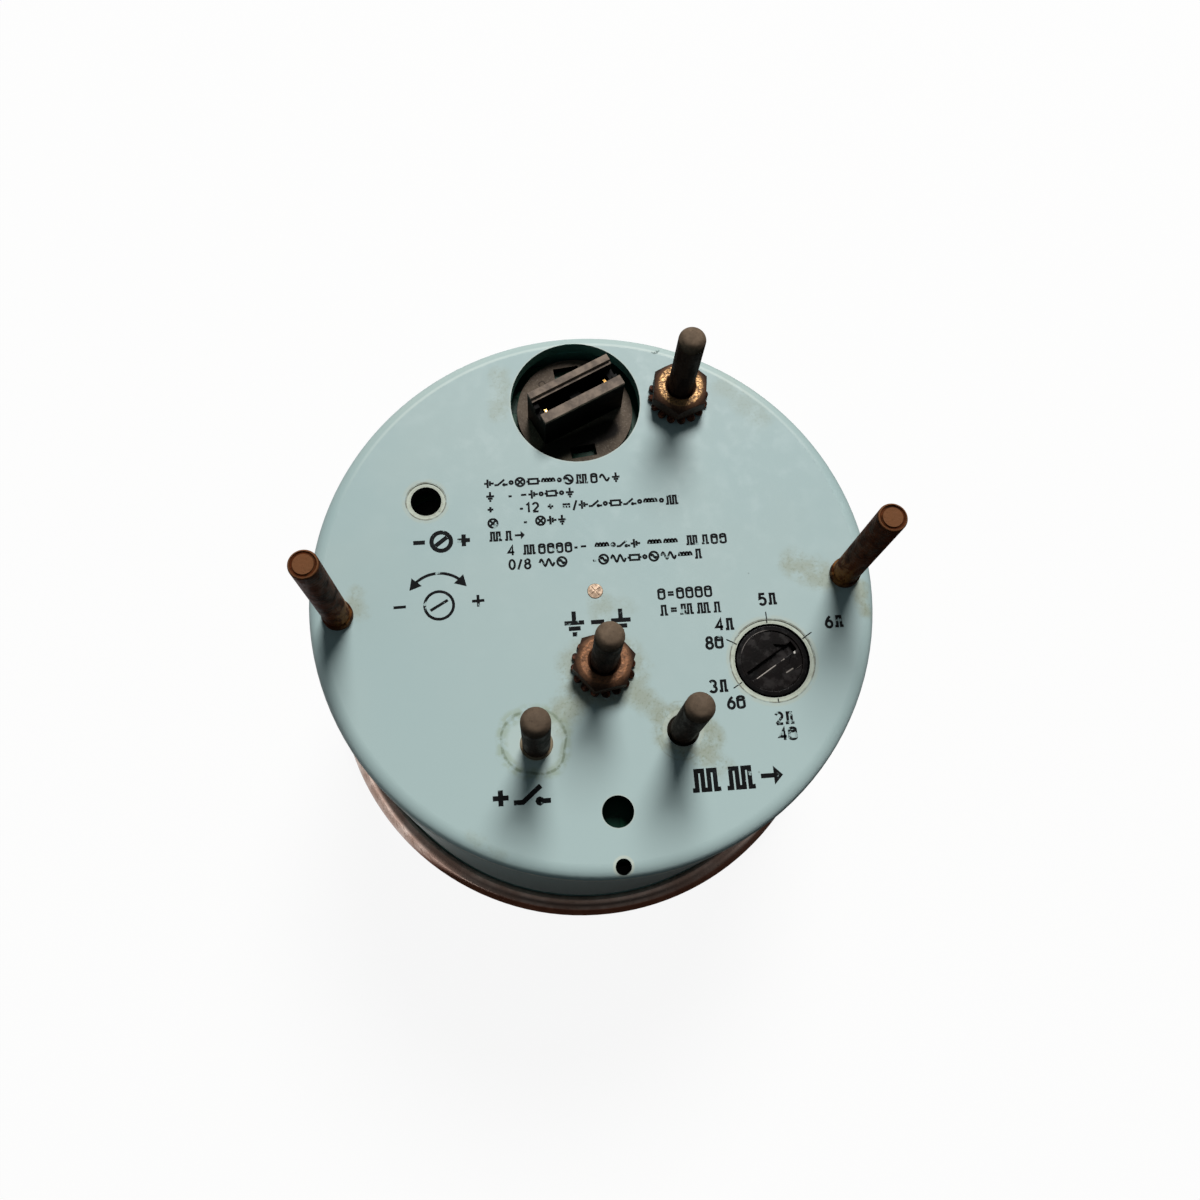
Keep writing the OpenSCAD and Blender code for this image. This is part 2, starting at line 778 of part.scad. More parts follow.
module chip_legs() {
    shoulder_z = chip_lift + chip_h / 2;
    color([0.75, 0.75, 0.73])
    on_board(chip_at)
        for (side = [0, 180], i = [0 : leg_count - 1])
            rotate([0, 0, side])
                translate([(i - (leg_count - 1) / 2) * leg_pitch - leg_w / 2, 0, 0]) {
                    translate([0, leg_span / 2 - leg_t, 0]) cube([leg_w, leg_t, shoulder_z]);
                    translate([0, chip_w / 2, shoulder_z - leg_t])
                        cube([leg_w, leg_span / 2 - chip_w / 2, leg_t]);
                }
}

// Can with a groove above its foot and a rounded top
module can_capacitor(r, h) {
    groove_z = 1.4;
    difference() {
        round_end(r, 0, h, 0.6);
        translate([0, 0, groove_z])
            rotate_extrude() translate([r + 0.25, 0]) circle(r = 0.5);
    }
}

module capacitors() {
    color([0.15, 0.2, 0.4]) {
        on_board(on_ring(0.79, 225)) can_capacitor(big_cap_r, big_cap_h);
        on_board(on_ring(0.82, -43)) can_capacitor(small_cap_r, small_cap_h);
        on_board(on_ring(0.74, 190)) can_capacitor(small_cap_r, small_cap_h);
    }
}

module film_capacitor() {
    color([0.75, 0.6, 0.15])
    on_board(cal_at + [cal_base / 2 + 6.1, 2.4]) translate([-5, -2.5, 0]) cube([10, 5, 9]);
}

// Round body lying along X on two bent wires
module axial_part(r, l) {
    lift = r + 0.4;
    half = l / 2 + 2;
    translate([0, 0, lift]) rotate([0, 90, 0]) cylinder(r = r, h = l, center = true);
    translate([0, 0, lift]) rotate([0, 90, 0]) cylinder(r = wire_r, h = 2 * half, center = true);
    for (x = [-half, half]) {
        translate([x, 0, lift]) sphere(r = wire_r);
        translate([x, 0, 0]) cylinder(r = wire_r, h = lift);
    }
}

module resistors() {
    color([0.75, 0.65, 0.5]) {
        for (i = [0 : 3]) on_board([14.5, 7 + 3.4 * i]) axial_part(resistor_r, resistor_l);
        for (i = [0 : 2])
            on_board(cal_at + [6.9, cal_base / 2 + 3 + 3.2 * i]) axial_part(resistor_r, resistor_l);
        for (i = [0 : 1]) on_board([0, -30 - 3.4 * i]) axial_part(resistor_r, resistor_l);
    }
}

module diodes() {
    color([0.1, 0.1, 0.1])
    for (i = [0 : 2]) on_board([10.5 + 2.8 * i, -10], 90) axial_part(0.9, diode_l);
}

module transistor() {
    leg_l = 4;
    body = [10, 4.4, 9];
    tab = [10, 1.3, 6.4];
    color([0.2, 0.2, 0.2])
    on_board(on_ring(0.755, 29), 60)
        difference() {
            union() {
                translate([-body[0] / 2, -body[1] / 2, leg_l]) cube(body);
                translate([-tab[0] / 2, -body[1] / 2, leg_l + body[2] - eps]) cube(tab);
                for (x = [-leg_pitch, 0, leg_pitch]) translate([x - 0.4, -0.25, 0]) cube([0.8, 0.5, leg_l + eps]);
            }
            translate([0, -body[1] / 2 - 1, leg_l + body[2] + tab[2] / 2])
                rotate([-90, 0, 0]) cylinder(r = 1.8, h = tab[1] + 2);
        }
}

module selector_body() {
    floor_z = board_end_z + selector_floor_t;
    color([0.1, 0.09, 0.09])
    translate([selector_at[0], selector_at[1], 0])
        difference() {
            union() {
                translate([-selector_base / 2, -selector_base / 2, board_end_z])
                    cube([selector_base, selector_base, selector_base_h]);
                column([0, 0], selector_hole_r - 0.3, board_end_z, selector_top_z);
            }
            column([0, 0], selector_rotor_r + run_gap, floor_z, selector_top_z + eps);
            column([0, 0], pivot_r + run_gap, board_end_z - eps, floor_z + eps);
        }
}

module selector_rotor() {
    arrow_l = selector_rotor_r - 0.4;
    arrow_back = arrow_l - 2.4;
    arrow_half = 1.9;
    color([0.13, 0.12, 0.12])
    translate([selector_at[0], selector_at[1], 0])
        rotate([0, 0, selector_angle])
            difference() {
                union() {
                    column([0, 0], selector_rotor_r, selector_rotor_z, selector_face_z);
                    column([0, 0], pivot_r, board_end_z + 2 * run_gap, selector_rotor_z + eps);
                }
                translate([-arrow_l, -selector_slot_w / 2, selector_face_z - selector_slot_d])
                    cube([2 * arrow_l, selector_slot_w, selector_slot_d + eps]);
                translate([0, 0, selector_face_z - selector_slot_d / 2])
                    linear_extrude(height = selector_slot_d)
                        polygon([[arrow_l, 0], [arrow_back, arrow_half], [arrow_back, -arrow_half]]);
            }
}

module selector_wiper() {
    wiper_z = selector_rotor_z - wiper_t - fit_gap;
    color([0.8, 0.62, 0.3])
    translate([selector_at[0], selector_at[1], wiper_z])
        rotate([0, 0, selector_angle])
            difference() {
                union() {
                    cylinder(r = pivot_r + 1, h = wiper_t);
                    translate([0, -0.8, 0]) cube([selector_rotor_r - 0.5, 1.6, wiper_t]);
                }
                translate([0, 0, -eps]) cylinder(r = pivot_r + fit_gap, h = wiper_t + 2 * eps);
            }
}

module calibration_body() {
    color([0.15, 0.2, 0.35])
    translate([cal_at[0], cal_at[1], 0])
        difference() {
            translate([-cal_base / 2, -cal_base / 2, board_z - cal_base_h])
                cube([cal_base, cal_base, cal_base_h]);
            column([0, 0], cal_rotor_r + run_gap, board_z - cal_rotor_h - loose_gap, board_z + eps);
        }
}

module calibration_rotor() {
    rotor_end_z = board_z - loose_gap / 2;
    color([0.12, 0.12, 0.13])
    translate([cal_at[0], cal_at[1], 0])
        difference() {
            column([0, 0], cal_rotor_r, rotor_end_z - cal_rotor_h, rotor_end_z);
            translate([-cal_rotor_r, -0.35, rotor_end_z - 0.8]) cube([2 * cal_rotor_r, 0.7, 1]);
        }
}

module lamp_holder() {
    color([0.2, 0.18, 0.17])
    translate([lamp_at[0], lamp_at[1], 0])
        difference() {
            union() {
                column([0, 0], holder_r, holder_z, holder_end_z);
                column([0, 0], neck_r, lug_z, holder_z + eps);
                translate([0, 0, lug_z]) rotate([0, 0, lug_angle]) lug_shape(lug_r, lug_w, lug_t);
                column([0, 0], barrel_r, barrel_z, lug_z + eps);
                rotate([0, 0, grip_angle]) lamp_grip();
            }
            flange_notches();
            column([0, 0], bulb_r + fit_gap, barrel_z - eps, barrel_z + 7);
            rotate([0, 0, grip_angle]) contact_bars(contact_slot_z(), grip_end_z + eps);
        }
}

function contact_slot_z() = holder_end_z - 1;

// Two bars with a slot between them, open at the ends near the top
module lamp_grip() {
    floor_z = grip_end_z - grip_slot_d;
    post_r = 0.95;
    ledge = 0.5;
    mouth_d = 2.2;
    end_block = [0.8, 0.9, mouth_d / 2];
    difference() {
        translate([-grip_l / 2, -grip_w / 2, holder_end_z - eps]) cube([grip_l, grip_w, grip_h + eps]);
        translate([-contact_x - 0.6, -grip_slot_w / 2, floor_z])
            cube([2 * contact_x + 1.2, grip_slot_w, grip_slot_d + eps]);
        translate([-grip_l / 2 - eps, -grip_slot_w / 2, grip_end_z - mouth_d])
            cube([grip_l + 2 * eps, grip_slot_w, mouth_d + eps]);
        translate([-grip_l / 2 - eps, grip_slot_w / 2 - eps, grip_end_z - ledge])
            cube([grip_l + 2 * eps, ledge, ledge + eps]);
    }
    column([0, 0], post_r, floor_z - eps, contact_end_z);
    for (turn = [0, 180])
        rotate([0, 0, turn])
            translate([grip_l / 2 - end_block[0], -grip_slot_w / 2 - eps, grip_end_z - mouth_d - eps])
                cube(end_block);
}

// Two windows through the flange, near the case's centre line
module flange_notches() {
    notch = [4, 1.9];
    notch_y = 6.9;
    notch_turn = 6;
    rotate([0, 0, notch_turn])
        for (y = [-notch_y, notch_y])
            translate([-notch[0] / 2, y - notch[1] / 2, holder_z - eps])
                cube([notch[0], notch[1], holder_t + 2 * eps]);
}

module contact_bars(z0, z1) {
    for (x = [-contact_x, contact_x])
        translate([x - contact_t / 2, -contact_w / 2, z0]) cube([contact_t, contact_w, z1 - z0]);
}

module lamp_contacts() {
    color([0.85, 0.68, 0.35])
    translate([lamp_at[0], lamp_at[1], 0])
        rotate([0, 0, grip_angle]) contact_bars(contact_slot_z(), contact_end_z);
}

module bulb_glass() {
    base_z = barrel_z + 6.8;
    inner_r = bulb_r - bulb_wall;
    tip_z = barrel_z - bulb_out + bulb_r;
    color([0.9, 0.92, 0.92, 0.35])
    translate([lamp_at[0], lamp_at[1], 0])
        difference() {
            union() {
                column([0, 0], bulb_r, tip_z, base_z);
                translate([0, 0, tip_z]) sphere(r = bulb_r);
            }
            column([0, 0], inner_r, tip_z, barrel_z);
            translate([0, 0, tip_z]) sphere(r = inner_r);
        }
}

module bulb_filament() {
    lead_r = 0.25;
    lead_x = 1.6;
    filament_z = barrel_z - bulb_out / 2;
    color([0.5, 0.5, 0.5])
    translate([lamp_at[0], lamp_at[1], 0]) {
        for (x = [-lead_x, lead_x]) {
            column([x, 0], lead_r, filament_z, barrel_z);
            translate([x, 0, filament_z]) sphere(r = lead_r);
        }
        translate([0, 0, filament_z]) rotate([0, 90, 0]) cylinder(r = lead_r, h = 2 * lead_x, center = true);
    }
}

// Studs with a head under the board and a shoulder that fills the plate's hole
module terminal_studs() {
    tip_edge = 0.9;
    color([0.35, 0.31, 0.29])
    for (at = terminals_at) {
        column(at, stud_head_r, board_z - stud_head_t, board_z);
        column(at, stud_hole_r - run_gap, board_end_z, case_depth + foot_out);
        translate([at[0], at[1], 0]) round_end(stud_r, board_z - eps, case_depth + stud_out, tip_edge);
    }
}

// Ring with blades round its edge, each twisted so that it bites into both faces
module lock_washer() {
    ring_r = washer_r - 1.1;
    root_r = ring_r - 0.2;
    tooth_w = 1.2;
    bite = 0.1;
    twist_angle = asin((washer_h + bite) / norm([tooth_w, washer_sheet_t])) - atan(washer_sheet_t / tooth_w);
    intersection() {
        cylinder(r = washer_r, h = washer_h);
        difference() {
            union() {
                translate([0, 0, (washer_h - washer_sheet_t) / 2]) cylinder(r = ring_r, h = washer_sheet_t);
                for (i = [0 : washer_teeth - 1])
                    rotate([0, 0, i * 360 / washer_teeth])
                        translate([root_r, 0, washer_h / 2])
                            rotate([twist_angle, 0, 0]) lock_tooth(washer_r - root_r, tooth_w);
            }
            translate([0, 0, -eps]) cylinder(r = stud_r + run_gap, h = washer_h + 2 * eps);
        }
    }
}

// Flat blade along X with a round end
module lock_tooth(l, w) {
    translate([0, 0, -washer_sheet_t / 2])
        linear_extrude(height = washer_sheet_t) {
            translate([0, -w / 2]) square([l - w / 2, w]);
            translate([l - w / 2, 0]) circle(r = w / 2);
        }
}

module lock_washers() {
    color([0.5, 0.33, 0.2])
    for (at = nutted_at) translate([at[0], at[1], case_depth]) lock_washer();
}

// Six-sided nut with both faces turned to a flat ring and its bore countersunk
module hex_nut() {
    corner_r = nut_af / sqrt(3);
    drop = (corner_r - nut_face_r) * tan(30);
    bore = stud_r + fit_gap;
    sink = 0.4;
    difference() {
        intersection() {
            cylinder(r = corner_r, h = nut_h, $fn = 6);
            rotate_extrude()
                polygon([
                    [0, 0],
                    [nut_face_r, 0],
                    [corner_r + eps, drop],
                    [corner_r + eps, nut_h - drop],
                    [nut_face_r, nut_h],
                    [0, nut_h]
                ]);
        }
        translate([0, 0, -eps]) cylinder(r = bore, h = nut_h + 2 * eps);
        cylinder(r1 = bore + sink, r2 = bore, h = sink);
        translate([0, 0, nut_h - sink]) cylinder(r1 = bore, r2 = bore + sink, h = sink);
    }
}

module terminal_nuts() {
    color([0.62, 0.4, 0.25])
    for (at = nutted_at)
        translate([at[0], at[1], case_depth + washer_h])
            rotate([0, 0, at == ground_at ? ground_nut_turn : feed_nut_turn]) hex_nut();
}

ground_nut_turn = 8;
feed_nut_turn = 20;

// Long stud with a collar on the plate, a head inside and a grooved end
module bracket_stud() {
    top_z = case_depth + bracket_out;
    disc_r = bracket_r - 0.45;
    collar_r = bracket_r + 0.25;
    groove = 0.2;
    difference() {
        union() {
            round_end(bracket_r, case_depth - bracket_in - eps, top_z, 0.3);
            round_end(collar_r, case_depth, case_depth + collar_h, 0.4);
            translate([0, 0, case_depth - bracket_in - 1.5])
                cylinder(r = bracket_head_r(), h = 1.5, $fn = 6);
        }
        translate([0, 0, top_z])
            rotate_extrude() translate([disc_r, 0]) circle(r = groove);
    }
}

module bracket_studs() {
    color([0.45, 0.27, 0.18])
    for (at = brackets_at) translate([at[0], at[1], 0]) bracket_stud();
}

// Small plug in the plate with two crossed lines in its face
module middle_plug() {
    line_w = 0.16;
    line_d = 0.12;
    color([0.75, 0.66, 0.55])
    translate([0, -plug_y, 0])
        difference() {
            round_end(plug_r, case_depth - plug_depth, case_depth + 0.12, 0.15);
            for (a = [35, 125])
                translate([0, 0, case_depth + 0.12])
                    rotate([0, 0, a])
                        cube([1.5 * plug_r, line_w, 2 * line_d], center = true);
        }
}

case();
bezel();
lens();
lens_gasket();
reflector_ring();
dial();
dial_screws();
stop_pin();
pointer();
pointer_cap();
spindle();
rotor_magnet();
bearings();
bobbin_front();
bobbin_rear();
inner_coils();
outer_coils();
shield_can();
coil_wires();
spacers();
board_screws();
circuit_board();
chip();
chip_legs();
capacitors();
film_capacitor();
resistors();
diodes();
transistor();
selector_body();
selector_rotor();
selector_wiper();
calibration_body();
calibration_rotor();
lamp_holder();
lamp_contacts();
bulb_glass();
bulb_filament();
terminal_studs();
lock_washers();
terminal_nuts();
bracket_studs();
middle_plug();
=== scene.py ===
import math

import bpy
import numpy as np
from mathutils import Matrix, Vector


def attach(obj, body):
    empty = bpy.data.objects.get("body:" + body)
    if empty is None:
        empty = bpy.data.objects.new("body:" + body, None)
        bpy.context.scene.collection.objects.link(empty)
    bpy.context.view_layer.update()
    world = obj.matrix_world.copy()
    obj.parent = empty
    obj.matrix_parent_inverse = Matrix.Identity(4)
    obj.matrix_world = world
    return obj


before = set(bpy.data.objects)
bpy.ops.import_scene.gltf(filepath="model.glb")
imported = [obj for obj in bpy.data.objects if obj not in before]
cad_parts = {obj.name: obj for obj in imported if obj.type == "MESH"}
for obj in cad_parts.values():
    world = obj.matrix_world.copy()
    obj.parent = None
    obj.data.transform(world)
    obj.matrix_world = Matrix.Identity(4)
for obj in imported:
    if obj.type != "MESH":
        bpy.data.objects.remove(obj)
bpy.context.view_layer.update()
mm = 0.001
print("frame loaded,", len(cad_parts), "nodes")

# Levels, centres and radii of the part that the looks need, in millimetres
part = {
    "rearFace": 58.5,
    "shoulderFace": 58.35,
    "innerFace": 56.2,
    "innerRadius": 41.3,
    "dialFace": 8.4,
    "groundStud": (0.0, -12.0),
    "feedStud": (16.0, 29.7),
    "ignitionStud": (-10.5, -22.3),
    "senderStud": (10.5, -22.3),
    "studHole": 2.35,
    "leftBracket": (-37.5, -1.1),
    "rightBracket": (37.5, -1.1),
    "selector": (24.8, -13.3),
    "selectorHole": 5.55,
    "calibration": (-23.9, 15.6),
    "calibrationHole": 2.3,
    "lamp": (0.0, 30.2),
    "lampHole": 10.05,
    "vent": (0.0, -32.8),
    "ventHole": 2.25,
    "drain": (0.0, -40.3),
    "drainHole": 1.1,
    "flatEdge": 39.8,
    "rearEdge": 42.0,
}
caseAxis = (0.0, 0.0)


def holesOf(*names):  # centre and radius of each hole; the studs' holes share one radius
    return [(part[name], part.get(name + "Hole", part["studHole"])) for name in names]


def toLinear(hexText):  # sRGB hex to the linear colour that shaders read
    parts = [int(hexText[i:i + 2], 16) / 255 for i in (1, 3, 5)]
    return [p / 12.92 if p <= 0.04045 else ((p + 0.055) / 1.055) ** 2.4 for p in parts] + [1.0]


# Adds one node with its settings and links, and gives one of its outputs
def addNode(tree, kind, links=None, take=0, **settings):
    made = tree.nodes.new("ShaderNode" + kind)
    for name, value in settings.items():
        setattr(made, name, value)
    for socket, value in (links or {}).items():
        if isinstance(value, bpy.types.NodeSocket):
            tree.links.new(value, made.inputs[socket])
        else:
            made.inputs[socket].default_value = toLinear(value) if isinstance(value, str) else value
    return made.outputs[take] if made.outputs else made


def startMaterial(name):  # a material and its Object coordinates in millimetres
    material = bpy.data.materials.new(name)
    material.use_nodes = True
    tree = material.node_tree
    tree.nodes.clear()
    place = addNode(tree, "TexCoord", take="Object")
    return material, tree, addNode(tree, "VectorMath", {0: place, 3: 1 / mm}, operation="SCALE")


# Patches of about that size in mm: noise that rises softly from 0 at low to 1 at high
def cloudPatches(tree, place, size, low, high, detail=4.0):
    cloud = addNode(tree, "TexNoise", {"Vector": place, "Scale": 1 / size, "Detail": detail, "Roughness": 0.6})
    return addNode(tree, "MapRange", {0: cloud, 1: low, 2: high}, interpolation_type="SMOOTHSTEP")


# The first value up to the start of a stretch of an axis (0 X, 1 Y, 2 Z), the last one from its end on
def alongAxis(tree, place, axis, start, end, first=0.0, last=1.0, ease="LINEAR"):
    way = addNode(tree, "SeparateXYZ", {0: place}, take=axis)
    return addNode(tree, "MapRange", {0: way, 1: start, 2: end, 3: first, 4: last}, interpolation_type=ease)


# The product of masks and a strength
def overlap(tree, strength, *masks):
    for mask in masks:
        strength = addNode(tree, "Math", {0: mask, 1: strength}, operation="MULTIPLY")
    return strength


# Distance from a point of the plate, seen along Z
def reachFrom(tree, place, centre):
    flat = addNode(tree, "VectorMath", {0: place, 1: (1, 1, 0)}, operation="MULTIPLY")
    return addNode(tree, "VectorMath", {0: flat, 1: (*centre, 0)}, take=1, operation="DISTANCE")


# 1 within the inner distance of a point, 0 beyond the outer one
def nearPoint(tree, place, centre, inner, outer):
    fade = {0: reachFrom(tree, place, centre), 1: inner, 2: outer, 3: 1.0, 4: 0.0}
    return addNode(tree, "MapRange", fade, interpolation_type="SMOOTHSTEP")


# The same for a line from start to end: the place is moved back along the line by its clamped share of the
# way, and what is left is the distance
def nearLine(tree, place, start, end, inner, outer):
    way = np.subtract(end, start)
    length = max(float(way @ way), 1e-6)
    flat = addNode(tree, "VectorMath", {0: place, 1: (1, 1, 0)}, operation="MULTIPLY")
    offset = addNode(tree, "VectorMath", {0: flat, 1: (*start, 0)}, operation="SUBTRACT")
    share = addNode(tree, "VectorMath", {0: offset, 1: (*way / length, 0)}, take=1, operation="DOT_PRODUCT")
    share = addNode(tree, "MapRange", {0: share})
    back = addNode(tree, "VectorMath", {0: (*way, 0), 3: share}, operation="SCALE")
    left = addNode(tree, "VectorMath", {0: offset, 1: back}, take=1, operation="DISTANCE")
    fade = {0: left, 1: inner, 2: outer, 3: 1.0, 4: 0.0}
    return addNode(tree, "MapRange", fade, interpolation_type="SMOOTHSTEP")


# 1 on a circle of that radius, fading over the blur on both sides of half its width
def circleLine(tree, place, centre, radius, half, blur):
    off = addNode(tree, "Math", {0: reachFrom(tree, place, centre), 1: radius}, operation="SUBTRACT")
    off = addNode(tree, "Math", {0: off}, operation="ABSOLUTE")
    fade = {0: off, 1: half, 2: half + blur, 3: 1.0, 4: 0.0}
    return addNode(tree, "MapRange", fade, interpolation_type="SMOOTHSTEP")


# Coats laid over a colour, one after the other: each has its strength, its colour and its masks
def layCoats(tree, colour, *coats):
    for strength, tint, *masks in coats:
        cover = overlap(tree, strength, *masks)
        colour = addNode(tree, "Mix", {0: cover, 6: colour, 7: tint}, take=2, data_type="RGBA")
    return colour


# Ends a material: soft edges of that radius in mm, then relief, whose heights from 0 to 1 are added up, each
# times its depth in mm, and then the surface
def finishSurface(tree, shader, relief=(), edge=0.0):
    links, height = dict(shader), 0.0
    if edge:
        links["Normal"] = addNode(tree, "Bevel", {"Radius": edge * mm}, samples=4)
    for layer, depth in relief:
        height = addNode(tree, "Math", {0: layer, 1: depth, 2: height}, operation="MULTIPLY_ADD")
    if relief:
        under = {"Normal": links["Normal"]} if edge else {}
        links["Normal"] = addNode(tree, "Bump", {"Height": height, "Distance": mm, "Strength": 1.0, **under})
    addNode(tree, "OutputMaterial", {"Surface": addNode(tree, "BsdfPrincipled", links)})


def dress(material, *names):  # puts a material on CAD nodes
    for name in names:
        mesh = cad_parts[name].data
        mesh.materials.clear()
        mesh.materials.append(material)


caseLook = {
    "paint": "#A5B9B6", "paintCool": "#A1B7B5", "faded": "#ADC2BF", "paintedLightFrom": 8.0, "paintedLightTo": -38.0,
    "moulding": "#47877A", "holeShade": "#070A0A", "cream": "#BEC5B4", "grime": "#5B5540", "beige": "#98A190",
    "olive": "#7C866E", "nutSeat": "#C4D2C8", "nutHalo": "#96A58C", "nutFilm": "#7D8B72", "nutCrust": "#5F6E55",
    "shoulderDust": "#B7B8A0", "shoulderStain": "#7F8371", "shoulderFilm": "#8E9280", "shoulderLine": "#8F8E78",
    "holeRim": "#C6CBBB", "senderSeat": "#8B9380", "drainRim": "#CBD0BE", "paintedRimLight": "#C9D3C6",
    "paintedRimHighlight": "#D3DED5", "paintedEdgeHighlight": "#E6E6DA", "wallPaintedShade": "#56625F", "speck": "#5C6660",
    "scratch": "#34504B", "scratchFrom": (12.9, 37.9), "scratchTo": (14.1, 38.5), "roughness": 0.48,
    "rimLightBand": (39.6, 41.0), "wallEdge": (40.9, 41.1), "paintedHighlightLine": 40.1,
    "peelSize": 0.5, "peelDepth": 0.002, "waveSize": 5.0, "waveDepth": 0.006, "crustDepth": 0.001,
    "shoulderWidth": 0.61, "nutRing": 4.7, "nutRingShift": (-0.3, 0.3), "senderRing": 4.1, "rimLightFrom": 14.0,
    "rimLightTo": 32.0, "edgeHighlightFrom": 55.3, "edgeHighlightTo": 57.1, "wallShadeFrom": 52.0, "wallShadeTo": 12.0,
    "paintStart": 5.7, "sagDepth": 0.09, "sagFrom": -14.0, "sagTo": -32.0,
    # Water stains: from, to, full width, outer reach, strength
    "stains": {
        "groundToIgnition": ((-3.4, -15.4), (-7.4, -19.0), 0.8, 3.2, 0.85),
        "groundToSender": ((4.6, -16.8), (8.6, -20.6), 0.3, 2.6, 0.85),
        "roundGround": ((-1.2, -12.6), (1.6, -12.6), 3.8, 6.2, 0.7),
        "roundSender": ((9.8, -21.8), (12.2, -23.4), 2.6, 4.6, 0.9),
        "belowSender": ((12.2, -25.6), (15.4, -27.8), 0.4, 2.2, 0.7),
        "aboveGround": ((0.4, -2.6), (4.2, -3.2), 0.3, 2.0, 0.25),
        "plugToGround": ((0.4, -2.0), (0.8, -7.6), 0.6, 2.2, 0.4),
        "rightBracketSide": ((30.2, 1.0), (34.8, -1.6), 0.8, 3.2, 0.8),
        "rightBracketBelow": ((39.4, -3.2), (40.2, -7.2), 0.3, 1.7, 0.9),
        "leftBracketSide": ((-35.0, 1.9), (-34.6, -0.6), 0.2, 1.8, 0.65),
        "besideLamp": ((-11.4, 35.6), (-12.0, 29.2), 0.3, 2.2, 0.5),
        "upperRim": ((23.6, 31.2), (28.6, 25.6), 0.4, 2.8, 0.35),
        "lowerLeftRim": ((-20.6, -34.4), (-16.6, -37.4), 0.1, 1.5, 0.3),
    },
}


# A place pushed about by slow noise: every outline that reads it wanders by that much
def wander(tree, place, size, reach, **noise):
    push = addNode(tree, "TexNoise", {"Vector": place, "Scale": 1 / size, **noise}, take="Color")
    pushing = {0: push, 1: (2 * reach, 2 * reach, 0), 2: place}
    moved = addNode(tree, "VectorMath", pushing, operation="MULTIPLY_ADD")
    return addNode(tree, "VectorMath", {0: moved, 1: (reach, reach, 0)}, operation="SUBTRACT")


